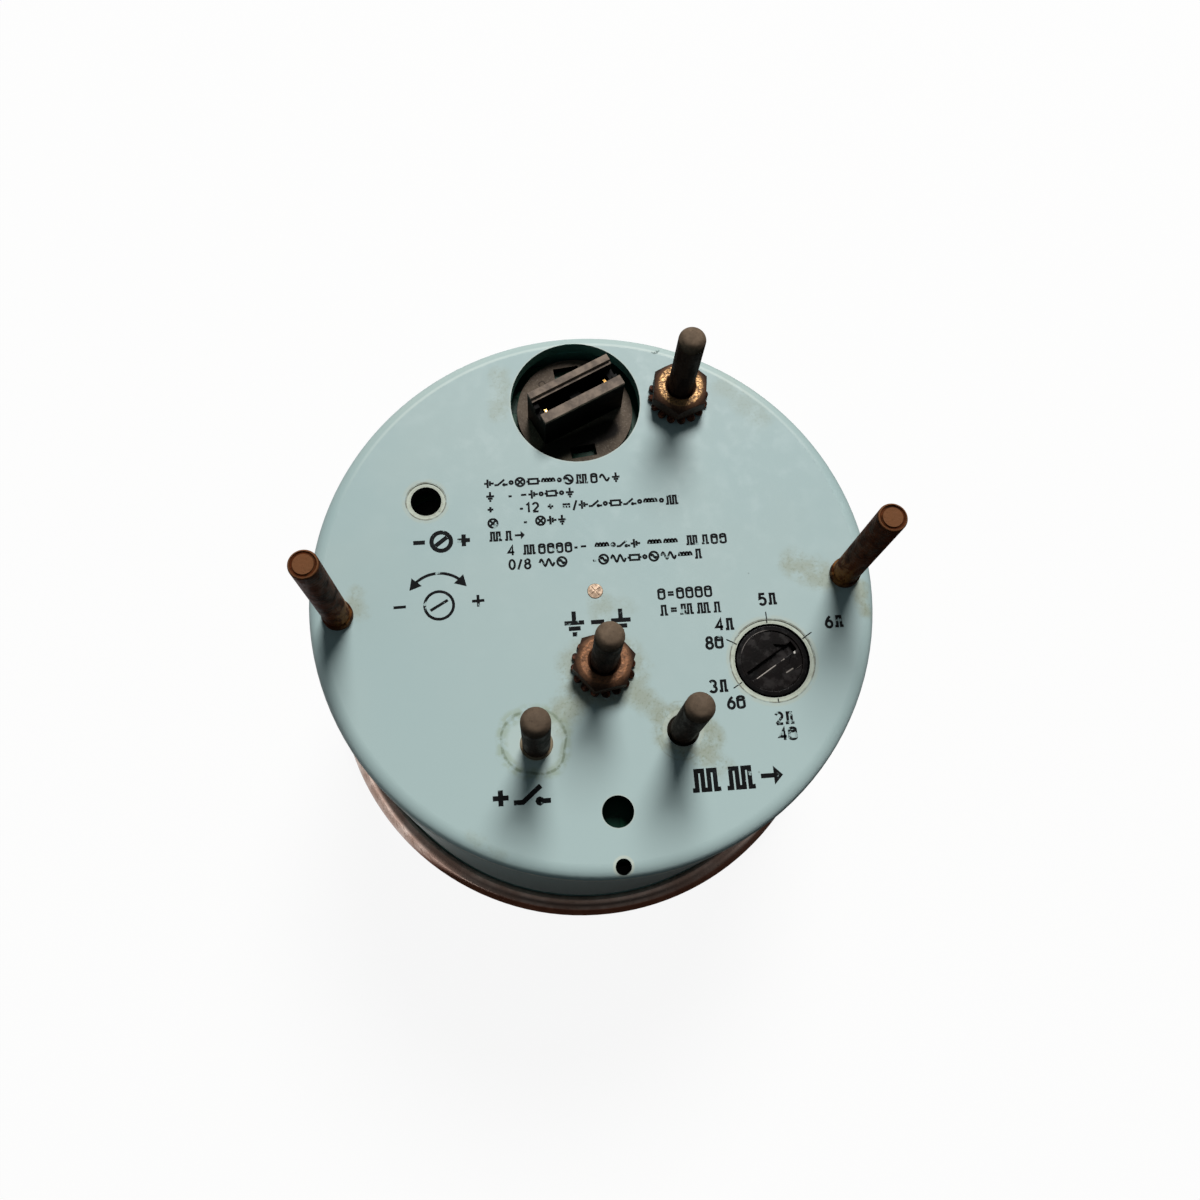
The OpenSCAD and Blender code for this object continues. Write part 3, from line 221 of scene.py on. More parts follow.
def makeCasePaint():
    # Satin enamel sprayed on a moulded phenolic can: an even pale turquoise skin with a faint orange peel,
    # dark green moulding where the paint doesn't reach, and dried water stains round the terminals. Light and
    # shade are painted in too: paler paint low on the face, highlights on the rim, shade on the lower wall and
    # in the holes
    material, tree, place = startMaterial("satinEnamelOnPhenolic")
    look, rear = caseLook, part["rearFace"]
    onFace = alongAxis(tree, place, 2, rear - 1.5, rear - 0.3)

    def coatFace(colour, *coats):  # coats that lie on the rear face only
        return layCoats(tree, colour, *[(*coat, onFace) for coat in coats])

    pushed = wander(tree, place, 3.0, 1.8, Detail=5.0, Roughness=0.65)
    wobble = wander(tree, place, 4.0, 0.8, Detail=1.0)
    blotches = cloudPatches(tree, place, 2.2, 0.26, 0.56, 6.0)
    grains = cloudPatches(tree, place, 0.45, 0.50, 0.66, 5.0)
    drift = cloudPatches(tree, place, 26, 0.35, 0.65, 2.0)
    breaks = cloudPatches(tree, place, 1.3, 0.36, 0.60, 5.0)
    gaps = cloudPatches(tree, place, 1.6, 0.38, 0.58, 4.0)
    # Painted light: paler paint towards the bottom evens out the light, which falls brighter higher up
    faded = alongAxis(tree, place, 1, look["paintedLightFrom"], look["paintedLightTo"])
    colour = layCoats(tree, look["paintCool"], (1.0, look["paint"], drift), (1.0, look["faded"], faded))
    for start, end, inner, outer, strength in look["stains"].values():
        smudge = nearLine(tree, pushed, start, end, inner, outer)
        colour = coatFace(colour, (strength, look["beige"], smudge, blotches),
                          (strength * 0.55, look["olive"], smudge, grains))

    # Ring left by the missing ignition nut: a thin, greenish, broken line, slightly out of round, pale inside
    ringMiddle = np.add(part["ignitionStud"], look["nutRingShift"])
    ring = circleLine(tree, wobble, ringMiddle, look["nutRing"], 0.06, 0.25)
    halo = circleLine(tree, wobble, ringMiddle, look["nutRing"], 0.35, 0.90)
    seat = nearPoint(tree, wobble, part["ignitionStud"], 4.0, 4.8)
    colour = coatFace(colour, (0.35, look["nutSeat"], seat), (0.60, look["nutHalo"], halo, breaks),
                      (0.25, look["nutFilm"], ring), (0.60, look["nutCrust"], ring, breaks))

    # Pale shoulders of the selector and calibration holes, with a dirty line outside and a fainter one inside
    for centre, radius in holesOf("selector", "calibration"):
        edge = radius + look["shoulderWidth"]
        shoulder = nearPoint(tree, place, centre, edge, edge + 0.05)
        outside = circleLine(tree, place, centre, edge + 0.09, 0.03, 0.13)
        inside = circleLine(tree, place, centre, radius + 0.16, 0.02, 0.12)
        dust = circleLine(tree, place, centre, edge + 0.34, 0.05, 0.50)
        colour = coatFace(colour, (0.35, look["shoulderDust"], dust, blotches), (0.92, look["cream"], shoulder),
                          (0.45, look["shoulderStain"], shoulder, blotches, grains),
                          (0.15, look["shoulderFilm"], shoulder, blotches),
                          (0.80, look["grime"], outside, gaps), (0.25, look["grime"], outside),
                          (0.40, look["shoulderLine"], inside, blotches))

    # Thin worn rims of the other holes, and what a washer left round the sender stud
    for centre, radius in holesOf("vent", "drain", "lamp", "senderStud", "ignitionStud"):
        rim = circleLine(tree, place, centre, radius + 0.04, 0.05, 0.14)
        colour = coatFace(colour, (0.35, look["holeRim"], rim))
    senderSeat = circleLine(tree, wobble, part["senderStud"], look["senderRing"], 0.04, 0.14)
    senderShoulder = circleLine(tree, place, part["senderStud"], part["studHole"] + 0.40, 0.15, 0.20)
    drainRing = circleLine(tree, place, part["drain"], part["drainHole"] + 0.22, 0.12, 0.14)
    colour = coatFace(colour, (0.45, look["senderSeat"], senderSeat, breaks),
                      (0.4, look["cream"], senderShoulder), (0.6, look["drainRim"], drainRing))

    # Painted light on the edge: towards the top the edge of the face is painted paler, with a painted highlight
    # line along it, and round the rear edge runs a pale painted highlight line; below that a painted shade
    # darkens the wall towards the bezel
    # The outer band of the face, where the rim light is painted, and the wall beyond the edge
    worn, onWall = [addNode(tree, "Math", {0: 1.0, 1: nearPoint(tree, place, caseAxis, *edge)},
                            operation="SUBTRACT") for edge in (look["rimLightBand"], look["wallEdge"])]
    highUp = alongAxis(tree, place, 1, look["rimLightFrom"], look["rimLightTo"])
    paintedHighlightLine = circleLine(tree, place, caseAxis, look["paintedHighlightLine"], 0.06, 0.30)
    highlightFrom = alongAxis(tree, place, 2, look["edgeHighlightFrom"], look["edgeHighlightFrom"] + 1.0, ease="SMOOTHSTEP")
    highlightTo = alongAxis(tree, place, 2, look["edgeHighlightTo"], look["edgeHighlightTo"] - 0.4)
    edgeHighlightLine = overlap(tree, onWall, highlightFrom, highlightTo)
    # Painted shade that darkens the wall towards the bezel
    shadeTowardsBezel = alongAxis(tree, place, 2, look["wallShadeFrom"], look["wallShadeTo"])
    colour = coatFace(colour, (0.25, look["paintedRimLight"], worn, highUp),
                      (0.45, look["paintedRimHighlight"], paintedHighlightLine, highUp))
    colour = layCoats(tree, colour, (0.45, look["paintedEdgeHighlight"], edgeHighlightLine),
                      (0.55, look["paintedEdgeHighlight"], edgeHighlightLine, gaps), (0.20, look["wallPaintedShade"], shadeTowardsBezel, onWall))

    # A few specks of dirt, and the scratch through the paint on the upper rim
    cells = addNode(tree, "TexVoronoi", {"Vector": place, "Scale": 1 / 7.0}, take="Distance")
    specks = addNode(tree, "MapRange", {0: cells, 1: 0.012, 2: 0.028, 3: 1.0, 4: 0.0})
    scratch = nearLine(tree, pushed, look["scratchFrom"], look["scratchTo"], 0.03, 0.22)
    colour = coatFace(colour, (0.6, look["speck"], specks))
    colour = layCoats(tree, colour, (0.85, look["scratch"], scratch))

    # Bare moulding inside the can. On the lamp hole's wall the darker moulding colour is partly bare moulding
    # and partly painted shade; the walls of the small holes are painted near black as painted shade
    belowFace = alongAxis(tree, place, 2, rear - 0.02, rear - 0.05)
    belowShoulder = alongAxis(tree, place, 2, part["shoulderFace"] - 0.01, part["shoulderFace"] - 0.04)
    reach = reachFrom(tree, place, caseAxis)
    inCan = addNode(tree, "MapRange", {0: reach, 1: part["innerRadius"] - 0.05, 2: part["innerRadius"] + 0.05,
                                       3: 1.0, 4: 0.0})
    underPlate = alongAxis(tree, place, 2, part["innerFace"], part["innerFace"] - 0.05)
    unpainted = alongAxis(tree, place, 2, look["paintStart"] + 0.05, look["paintStart"] - 0.05)
    bare = [(1.0, look["moulding"], inCan, underPlate), (1.0, look["moulding"], unpainted)]
    for names, tint, below in ((("lamp",), "moulding", belowFace),
                               (("vent", "drain", "senderStud", "ignitionStud", "groundStud", "feedStud"),
                                "holeShade", belowFace),
                               (("selector", "calibration"), "holeShade", belowShoulder)):
        for centre, radius in holesOf(*names):
            bare.append((1.0, look[tint], nearPoint(tree, place, centre, radius + 0.02, radius + 0.05), below))
    colour = layCoats(tree, colour, *bare)

    # At the bottom the enamel has sagged to a fuller edge, with the square of the way round the edge
    peel = addNode(tree, "TexNoise", {"Vector": place, "Scale": 1 / look["peelSize"], "Detail": 2.0})
    waves = addNode(tree, "TexNoise", {"Vector": place, "Scale": 1 / look["waveSize"], "Detail": 1.0})
    edgeWidth = part["rearEdge"] - part["flatEdge"]
    beyond = addNode(tree, "MapRange", {0: reach, 1: part["flatEdge"], 2: part["rearEdge"], 4: edgeWidth})
    bead = overlap(tree, beyond, beyond, alongAxis(tree, place, 1, look["sagFrom"], look["sagTo"]))
    relief = [(peel, look["peelDepth"]), (waves, look["waveDepth"]),
              (overlap(tree, breaks, grains), look["crustDepth"]), (bead, look["sagDepth"])]
    dull = addNode(tree, "MapRange", {0: blotches, 3: look["roughness"], 4: look["roughness"] + 0.08})
    finishSurface(tree, {"Base Color": colour, "Roughness": dull, "IOR": 1.5}, relief)
    return material


dress(makeCasePaint(), "case")
print("case painted")


greyDust = "#9A948A"


# Moulded plastic or rubber: fine grain, slight mottling, dust in the grain
def makeMoulded(look):
    material, tree, place = startMaterial(look["finish"])
    mottle = cloudPatches(tree, place, 3.0, 0.35, 0.65)
    dust = cloudPatches(tree, place, 0.5, 0.56, 0.75, 3.0)
    colour = layCoats(tree, look["colour"], (1.0, look["second"], mottle),
                      (look.get("dust", 0.1), greyDust, dust))
    grainSize = look.get("grainSize", 0.12)
    grain = addNode(tree, "TexNoise", {"Vector": place, "Scale": 1 / grainSize, "Detail": 3.0})
    rough = addNode(tree, "MapRange", {0: mottle, 3: look["roughness"], 4: look["roughness"] + 0.1})
    shader = {"Base Color": colour, "Roughness": rough, "IOR": 1.5}
    finishSurface(tree, shader, [(grain, look.get("grainDepth", 0.004))], look.get("edge", 0.0))
    return material


# Bare or plated metal: tarnish in patches, dark spots, and a fine grain
def makeMetal(look):
    material, tree, place = startMaterial(look["finish"])
    tarnish = cloudPatches(tree, place, look.get("patchSize", 1.6), 0.4, 0.6, 6.0)
    spots = cloudPatches(tree, place, look.get("spotSize", 0.5), 0.55, 0.68)
    colour = layCoats(tree, look["colour"], (1.0, look["tarnish"], tarnish),
                      (look.get("spots", 0.3), look.get("spotColour", "#2A211C"), spots))
    rough = addNode(tree, "MapRange", {0: tarnish, 3: look["roughness"], 4: look["roughness"] + 0.25})
    bright, dim = look.get("metallic", 1.0), look.get("tarnishMetallic", 0.6)
    metallic = addNode(tree, "MapRange", {0: tarnish, 3: bright, 4: dim})
    fine = addNode(tree, "TexNoise", {"Vector": place, "Scale": 1 / look.get("grainSize", 0.15), "Detail": 4.0})
    depth = look.get("grainDepth", 0.01)
    shader = {"Base Color": colour, "Roughness": rough, "Metallic": metallic,
              "Specular IOR Level": look.get("shine", 0.5)}
    finishSurface(tree, shader, [(fine, depth), (tarnish, depth)], look.get("edge", 0.0))
    return material


def dressAll(make, looks):  # one material for each look, on the nodes that its key names
    for names, look in looks.items():
        dress(make(look), *names.split())


studLook = {
    "shaft": "#2C1D16", "second": "#1A110D", "tip": "#7E6C5A", "dimTip": "#4E4238", "foot": "#B9A88C",
    "gold": "#A98250", "senderFootShade": "#0A0807", "speck": "#2A2420", "dimBelow": -17.0, "roughness": 0.55,
    "threadPitch": 0.8, "threadDepth": 0.003, "tipFrom": 75.0, "tipTo": 77.2, "tipRounding": -0.16,
}


def threadTurns(tree, place, pitch):  # the turns of a thread as a sine along Z
    level = addNode(tree, "SeparateXYZ", {0: place}, take=2)
    turns = addNode(tree, "Math", {0: level, 1: 2 * math.pi / pitch}, operation="MULTIPLY")
    return addNode(tree, "Math", {0: turns}, operation="SINE")


def makeStudOxide():
    # Brass stud left outdoors: a black-brown oxide, blotched and matt, rubbed paler on the round tip, with
    # bare metal in specks near the foot; its thread is clogged and only just shows
    material, tree, place = startMaterial("oxidisedBrassStud")
    look, rear = studLook, part["rearFace"]
    drawn = addNode(tree, "VectorMath", {0: place, 1: (1.0, 1.0, 0.35)}, operation="MULTIPLY")
    mottle = cloudPatches(tree, drawn, 1.1, 0.36, 0.64, 6.0)
    specks = cloudPatches(tree, place, 0.35, 0.56, 0.70, 4.0)
    tip = alongAxis(tree, place, 2, look["tipFrom"], look["tipTo"], ease="SMOOTHSTEP")
    foot = alongAxis(tree, place, 2, rear + 0.20, rear + 0.12)
    nearFoot = alongAxis(tree, place, 2, rear + 1.9, rear + 0.2)
    dim = alongAxis(tree, place, 1, look["dimBelow"], look["dimBelow"] - 1.0)
    onSender = overlap(tree, dim, alongAxis(tree, place, 0, 0.0, 0.01))
    # The sender stud's foot is painted near black: painted shade of the gap round it in its hole
    colour = layCoats(tree, look["second"], (1.0, look["shaft"], mottle), (0.65, look["tip"], tip),
                      (0.55, look["tip"], tip, mottle), (0.42, look["dimTip"], tip, dim),
                      (0.25, look["speck"], specks), (0.75, look["gold"], nearFoot, specks),
                      (0.85, look["foot"], foot),
                      (0.9, look["senderFootShade"], nearFoot, onSender), (0.95, look["senderFootShade"], foot, onSender))
    fine = addNode(tree, "TexNoise", {"Vector": place, "Scale": 1 / 0.3, "Detail": 5.0, "Roughness": 0.6})
    rough = addNode(tree, "MapRange", {0: mottle, 3: look["roughness"] + 0.1, 4: look["roughness"] - 0.08})

    # The tip is round: its height falls with the square of the distance from the nearest stud's axis
    reach = 99.0
    for name in ("groundStud", "feedStud", "ignitionStud", "senderStud"):
        reach = addNode(tree, "Math", {0: reachFrom(tree, place, part[name]), 1: reach}, operation="MINIMUM")
    turns = threadTurns(tree, place, look["threadPitch"])
    relief = [(turns, look["threadDepth"]), (fine, 0.03), (mottle, 0.015),
              (overlap(tree, reach, reach, tip), look["tipRounding"])]
    finishSurface(tree, {"Base Color": colour, "Roughness": rough, "Specular IOR Level": 0.02}, relief)
    return material


nutLook = {"copper": "#7E5A42", "brown": "#5C402E", "dark": "#170D09", "gold": "#9C8052", "rubbed": "#B98058",
           "sink": "#2B1A12", "sinkRadius": 2.28, "roughness": 0.42, "topFrom": 62.50, "topTo": 62.58,
           "sideFrom": 62.54, "sideTo": 62.15, "edge": 0.22}


def makeNutBrass():
    # Brass nuts gone brown and rough: orange-brown faces, dark pits, and on the lamp feed nut the gold still
    # shows in fine scratches on the flat ring round the stud
    material, tree, place = startMaterial("tarnishedBrassNut")
    look = nutLook
    clouds = cloudPatches(tree, place, 1.5, 0.34, 0.62, 6.0)
    pits = cloudPatches(tree, place, 0.32, 0.54, 0.68, 4.0)
    topFace = alongAxis(tree, place, 2, look["topFrom"], look["topTo"])
    lower = alongAxis(tree, place, 2, look["sideFrom"], look["sideTo"])
    onFeed = alongAxis(tree, place, 1, 5.0, 6.0)
    combed = addNode(tree, "VectorMath", {0: place, 1: (1.0, 1.8, 1.0)}, operation="MULTIPLY")
    rubbed = cloudPatches(tree, combed, 0.5, 0.36, 0.60, 7.0)
    gleam = overlap(tree, rubbed, topFace)
    sink = look["sinkRadius"]
    sinks = [(0.85, look["sink"], nearPoint(tree, place, part[name], sink, sink + 0.14))
             for name in ("groundStud", "feedStud")]
    colour = layCoats(tree, look["brown"], (1.0, look["copper"], clouds), (0.6, look["brown"], onFeed, clouds),
                      (0.85, look["dark"], lower), (0.90, look["gold"], gleam, onFeed),
                      (0.30, look["rubbed"], gleam), (0.42, look["dark"], pits), *sinks)
    metallic = addNode(tree, "MapRange", {0: gleam, 3: 0.05, 4: 0.45})
    rough = addNode(tree, "MapRange", {0: gleam, 3: look["roughness"] + 0.12, 4: look["roughness"] - 0.08})
    fine = addNode(tree, "TexNoise", {"Vector": place, "Scale": 1 / 0.35, "Detail": 6.0, "Roughness": 0.65})
    shader = {"Base Color": colour, "Roughness": rough, "Metallic": metallic, "Specular IOR Level": 0.12}
    finishSurface(tree, shader, [(fine, 0.042), (pits, -0.02)], look["edge"])
    return material


bracketLook = {"rust": "#552710", "dark": "#281106", "brassy": "#8C5C30", "end": "#7B5236", "groove": "#3A2010",
               "foot": "#1E1410", "grooveRadius": 1.53, "endFrom": 82.30, "endTo": 82.45, "threadPitch": 0.8,
               "threadDepth": 0.006, "brassyFrom": 62.5, "brassyTo": 69.0, "sideFrom": 36.4, "sideTo": 37.6,
               "footFrom": 60.4, "footTo": 59.2}


def makeBracketRust():
    # Steel studs with a worn copper flash: purple-brown rust, brassy patches low down on the sides towards
    # the plate's middle, and a tan end with a dark groove
    material, tree, place = startMaterial("rustedCopperFlashedSteel")
    look = bracketLook
    drawn = addNode(tree, "VectorMath", {0: place, 1: (1.0, 1.0, 0.5)}, operation="MULTIPLY")
    clouds = cloudPatches(tree, place, 1.8, 0.36, 0.62, 6.0)
    streaks = cloudPatches(tree, drawn, 1.4, 0.40, 0.56, 5.0)
    pits = cloudPatches(tree, place, 0.3, 0.56, 0.70, 4.0)
    outward = addNode(tree, "VectorMath", {0: place}, operation="ABSOLUTE")
    inner = alongAxis(tree, outward, 0, look["sideFrom"], look["sideTo"], 1.0, 0.1)
    lower = alongAxis(tree, place, 2, look["brassyFrom"], look["brassyTo"], 1.0, 0.10, "SMOOTHSTEP")
    foot = alongAxis(tree, place, 2, look["footFrom"], look["footTo"])
    end = alongAxis(tree, place, 2, look["endFrom"], look["endTo"])
    groove = look["grooveRadius"]
    grooves = [(0.70, look["groove"], circleLine(tree, place, part[name], groove, 0.14, 0.10), end)
               for name in ("leftBracket", "rightBracket")]
    colour = layCoats(tree, look["dark"], (1.0, look["rust"], clouds),
                      (0.85, look["brassy"], lower, inner, streaks), (0.45, look["dark"], pits),
                      (0.70, look["foot"], foot, clouds), (0.85, look["end"], end), *grooves)
    fine = addNode(tree, "TexNoise", {"Vector": place, "Scale": 1 / 0.4, "Detail": 6.0, "Roughness": 0.65})
    turns = threadTurns(tree, place, look["threadPitch"])
    rough = addNode(tree, "MapRange", {0: streaks, 3: 0.60, 4: 0.42})
    finishSurface(tree, {"Base Color": colour, "Roughness": rough, "Specular IOR Level": 0.02},
                  [(turns, look["threadDepth"]), (fine, 0.07), (pits, -0.03)])
    return material


washerLook = {"finish": "brownedSpringBronze", "colour": "#5E3624", "tarnish": "#24150F", "roughness": 0.45,
              "patchSize": 0.9, "metallic": 0.25, "tarnishMetallic": 0.05, "spots": 0.4, "grainDepth": 0.05,
              "grainSize": 0.3, "edge": 0.15, "shine": 0.12}
plugLook = {"finish": "dullCopperPlug", "colour": "#C6AB91", "tarnish": "#A88E76", "roughness": 0.45,
            "patchSize": 0.7, "metallic": 0.4, "tarnishMetallic": 0.3, "spots": 0.5, "spotSize": 0.3,
            "spotColour": "#5A4636", "grainDepth": 0.01}

dress(makeStudOxide(), "terminal_studs")
dress(makeNutBrass(), "terminal_nuts")
dress(makeBracketRust(), "bracket_studs")
dress(makeMetal(washerLook), "lock_washers")  # bronze spring washers, brown, lumpy and dull
dress(makeMetal(plugLook), "middle_plug")  # pale pink copper, dirty in its crossed lines
print("studs, nuts and washers dressed")

holderLook = {
    "side": "#0A0807", "flange": "#63574B", "flangeDark": "#54483D", "bars": "#8E7E70", "barsDark": "#665A50",
    "dust": "#8A7E70", "gate": "#2A2420", "flangeTop": 55.1, "gripTop": 62.6, "gateMark": (-4.74, 35.36),
    "gateRadius": 0.5, "gripShadowFrom": (-4.5, 23.6), "gripShadowTo": (5.0, 26.8), "roughness": 0.5, "edge": 0.10,
}


def makeHolderNylon():
    # Glass-filled nylon: black with a faint gloss on its sides, and grey-brown on the flange and on top of the
    # grip, partly dust settled there and partly painted light on the faces that look up; a painted shadow of
    # the grip blackens the flange in front of it; a small ring marks where it was moulded
    material, tree, place = startMaterial("glassFilledNylon")
    look = holderLook
    mottle = cloudPatches(tree, place, 1.8, 0.35, 0.65, 5.0)
    grains = cloudPatches(tree, place, 0.30, 0.50, 0.70, 4.0)
    upToTop = alongAxis(tree, place, 2, look["flangeTop"] + 0.25, look["flangeTop"] + 0.02)
    fromTop = alongAxis(tree, place, 2, look["flangeTop"] - 0.06, look["flangeTop"] - 0.01)
    onFlange = overlap(tree, upToTop, fromTop)
    onGrip = alongAxis(tree, place, 2, look["gripTop"] - 0.08, look["gripTop"] - 0.02)
    gate = circleLine(tree, place, look["gateMark"], look["gateRadius"], 0.06, 0.08)
    gripShadow = nearLine(tree, place, look["gripShadowFrom"], look["gripShadowTo"], 1.2, 2.2)
    flange = layCoats(tree, look["flangeDark"], (1.0, look["flange"], mottle))
    bars = layCoats(tree, look["barsDark"], (1.0, look["bars"], mottle))
    colour = layCoats(tree, look["side"], (1.0, flange, onFlange), (1.0, bars, onGrip),
                      (0.45, look["dust"], onFlange, grains), (0.35, look["dust"], onGrip, grains),
                      (0.9, look["side"], upToTop, gripShadow), (0.6, look["gate"], upToTop, gate))
    grain = addNode(tree, "TexNoise", {"Vector": place, "Scale": 1 / 0.18, "Detail": 3.0})
    rough = addNode(tree, "MapRange", {0: mottle, 3: look["roughness"], 4: look["roughness"] + 0.12})
    shader = {"Base Color": colour, "Roughness": rough, "IOR": 1.53, "Specular IOR Level": 0.06}
    finishSurface(tree, shader, [(grain, 0.014), (gate, 0.05)], look["edge"])
    return material


contactLook = {"finish": "contactBrass", "colour": "#E8C07A", "tarnish": "#B08546", "roughness": 0.22,
               "tarnishMetallic": 0.9, "spots": 0.15}
dress(makeHolderNylon(), "lamp_holder")
dress(makeMetal(contactLook), "lamp_contacts", "bearings")  # clean yellow strip with a sheen

selectorLook = {
    "colour": "#0A0706", "second": "#120D0C", "dust": "#2A211C", "scratch": "#B0A79D", "nick": "#E2DCD2",
    "blackening": "#040303", "lit": "#8D8680", "roughness": 0.24, "faceRadius": 4.70, "slotAngle": 30,
    "slotEdge": 0.80, "faceFrom": 57.93, "faceTo": 57.97, "edge": 0.12,
}


def makeSelectorPhenolic():
    # Black phenolic polished by handling: glossy, brownish where dust lies, with a few fine pale scratches and
    # a painted highlight along one lip of the slot
    material, tree, place = startMaterial("polishedPhenolic")
    look, centre = selectorLook, np.array(part["selector"])
    mottle = cloudPatches(tree, place, 2.4, 0.35, 0.65, 5.0)
    dust = cloudPatches(tree, place, 1.6, 0.48, 0.72, 5.0)
    slotAngle = math.radians(look["slotAngle"])
    turned = addNode(tree, "VectorRotate", {"Vector": place, "Angle": -slotAngle}, rotation_type="Z_AXIS")
    combed = addNode(tree, "VectorMath", {0: turned, 1: (0.3, 5.0, 1.0)}, operation="MULTIPLY")
    hairs = cloudPatches(tree, combed, 1.2, 0.68, 0.74, 3.0)
    dashes = cloudPatches(tree, place, 0.9, 0.40, 0.50, 3.0)
    topFace = alongAxis(tree, place, 2, look["faceFrom"], look["faceTo"])
    way = np.array([math.cos(slotAngle), math.sin(slotAngle)])
    side = np.array([way[1], -way[0]]) * look["slotEdge"]
    lipHighlight = nearLine(tree, place, centre + side - way * 3.4, centre + side + way * 2.2, 0.03, 0.13)
    # A black patch past the slot's far end
    blackening = nearLine(tree, place, centre - way * 5.2, centre - way * 3.0, 0.42, 0.60)
    nick = nearLine(tree, place, centre + way * 3.9 + side * 0.2, centre + way * 3.5 + side * 1.2, 0.06, 0.2)
    scuff = nearLine(tree, place, centre + (1.9, -1.9), centre + (2.9, -1.4), 0.02, 0.14)

    # The face's rim is painted black as painted shade where it falls away, and has a painted highlight on its
    # upper left
    reach = reachFrom(tree, place, centre)
    rim = addNode(tree, "MapRange", {0: reach, 1: look["faceRadius"], 2: look["faceRadius"] + 0.12})
    lit = nearLine(tree, place, centre + (-3.6, 3.4), centre + (-2.2, 4.2), 1.2, 2.6)
    arc = circleLine(tree, place, centre, look["faceRadius"] - 0.12, 0.02, 0.10)
    colour = layCoats(tree, look["colour"], (1.0, look["second"], mottle), (0.25, look["dust"], dust),
                      (0.25, look["scratch"], hairs, topFace), (0.9, look["scratch"], lipHighlight, topFace, dashes),
                      (0.8, look["nick"], nick, topFace), (0.6, look["scratch"], scuff, topFace),
                      (0.9, look["blackening"], blackening), (0.9, look["blackening"], rim),
                      (0.7, look["lit"], arc, lit, dashes, topFace))
    rough = addNode(tree, "MapRange", {0: dust, 3: look["roughness"], 4: look["roughness"] + 0.25})
    fine = addNode(tree, "TexNoise", {"Vector": place, "Scale": 1 / 0.5, "Detail": 4.0})
    shader = {"Base Color": colour, "Roughness": rough, "IOR": 1.55, "Specular IOR Level": 0.12}
    finishSurface(tree, shader, [(fine, 0.008)], look["edge"])
    return material


trimmerLook = {"finish": "trimmerEpoxy", "colour": "#23304F", "second": "#1B2640", "roughness": 0.4}
rotorLook = {"finish": "trimmerNylon", "colour": "#1B1A1B", "second": "#252324", "roughness": 0.45,
             "edge": 0.08}
wiperLook = {"finish": "phosphorBronze", "colour": "#C9965A", "tarnish": "#8E6236", "roughness": 0.25}
dress(makeSelectorPhenolic(), "selector_body", "selector_rotor")
dress(makeMoulded(trimmerLook), "calibration_body")  # blue glossy moulded case
dress(makeMoulded(rotorLook), "calibration_rotor")  # black nylon, slightly shiny
dress(makeMetal(wiperLook), "selector_wiper")  # springy reddish-yellow strip
print("holder, selector and calibration dressed")

bezelLook = {"chrome": "#E6CFC2", "haze": "#C4A596", "pit": "#4A352A", "rust": "#8A6650", "roughness": 0.13,
             "rollFrom": 4.0, "rollTo": 5.0, "rollMiddle": 43.8, "rollRadius": 2.2, "edgeRadius": 46.4,
             "linesPerMm": 9.0}


def makeBezelChrome():
    # Chrome plating on spun brass, aged: a brownish mirror, hazed in patches, pitted, with fine spinning lines
    material, tree, place = startMaterial("agedChromePlate")
    look = bezelLook
    haze = cloudPatches(tree, place, 6.0, 0.32, 0.62, 5.0)
    pits = cloudPatches(tree, place, 0.5, 0.58, 0.70)
    bloom = cloudPatches(tree, place, 2.6, 0.55, 0.72, 6.0)
    colour = layCoats(tree, look["chrome"], (1.0, look["haze"], haze), (0.20, look["rust"], bloom),
                      (0.4, look["pit"], pits))
    rough = addNode(tree, "MapRange", {0: haze, 3: look["roughness"], 4: look["roughness"] + 0.13})
    reach = reachFrom(tree, place, caseAxis)
    spun = {"W": overlap(tree, look["linesPerMm"], reach), "Scale": 1.0, "Detail": 2.0}
    lines = addNode(tree, "TexNoise", spun, noise_dimensions="1D")

    # The rolled edge is round: its height falls with the square of the distance from the middle of the roll
    across = addNode(tree, "Math", {0: reach, 1: look["rollMiddle"]}, operation="SUBTRACT")
    square = overlap(tree, across, across)
    edgeSquare = (look["edgeRadius"] - look["rollMiddle"]) ** 2
    arch = addNode(tree, "MapRange", {0: square, 1: 0.0, 2: edgeSquare, 3: edgeSquare, 4: 0.0}, clamp=False)
    arch = overlap(tree, arch, alongAxis(tree, place, 2, look["rollFrom"], look["rollTo"]))
    finishSurface(tree, {"Base Color": colour, "Roughness": rough, "Metallic": 1.0},
                  [(lines, 0.003), (pits, -0.01), (arch, 0.5 / look["rollRadius"])])
    return material


lensLook = {"glass": "#F4FAF7", "smearSize": 14.0, "smearRoughness": 0.03, "refraction": 1.52}


def makeLensGlass():
    # Float glass: clear, faintly green in its edge, with a slight smear in large patches
    material, tree, place = startMaterial("clearFloatGlass")
    look = lensLook
    smear = cloudPatches(tree, place, look["smearSize"], 0.4, 0.7, 3.0)
    rough = addNode(tree, "MapRange", {0: smear, 3: 0.0, 4: look["smearRoughness"]})
    finishSurface(tree, {"Base Color": look["glass"], "Roughness": rough, "Transmission Weight": 1.0,
                         "IOR": look["refraction"]})
    return material


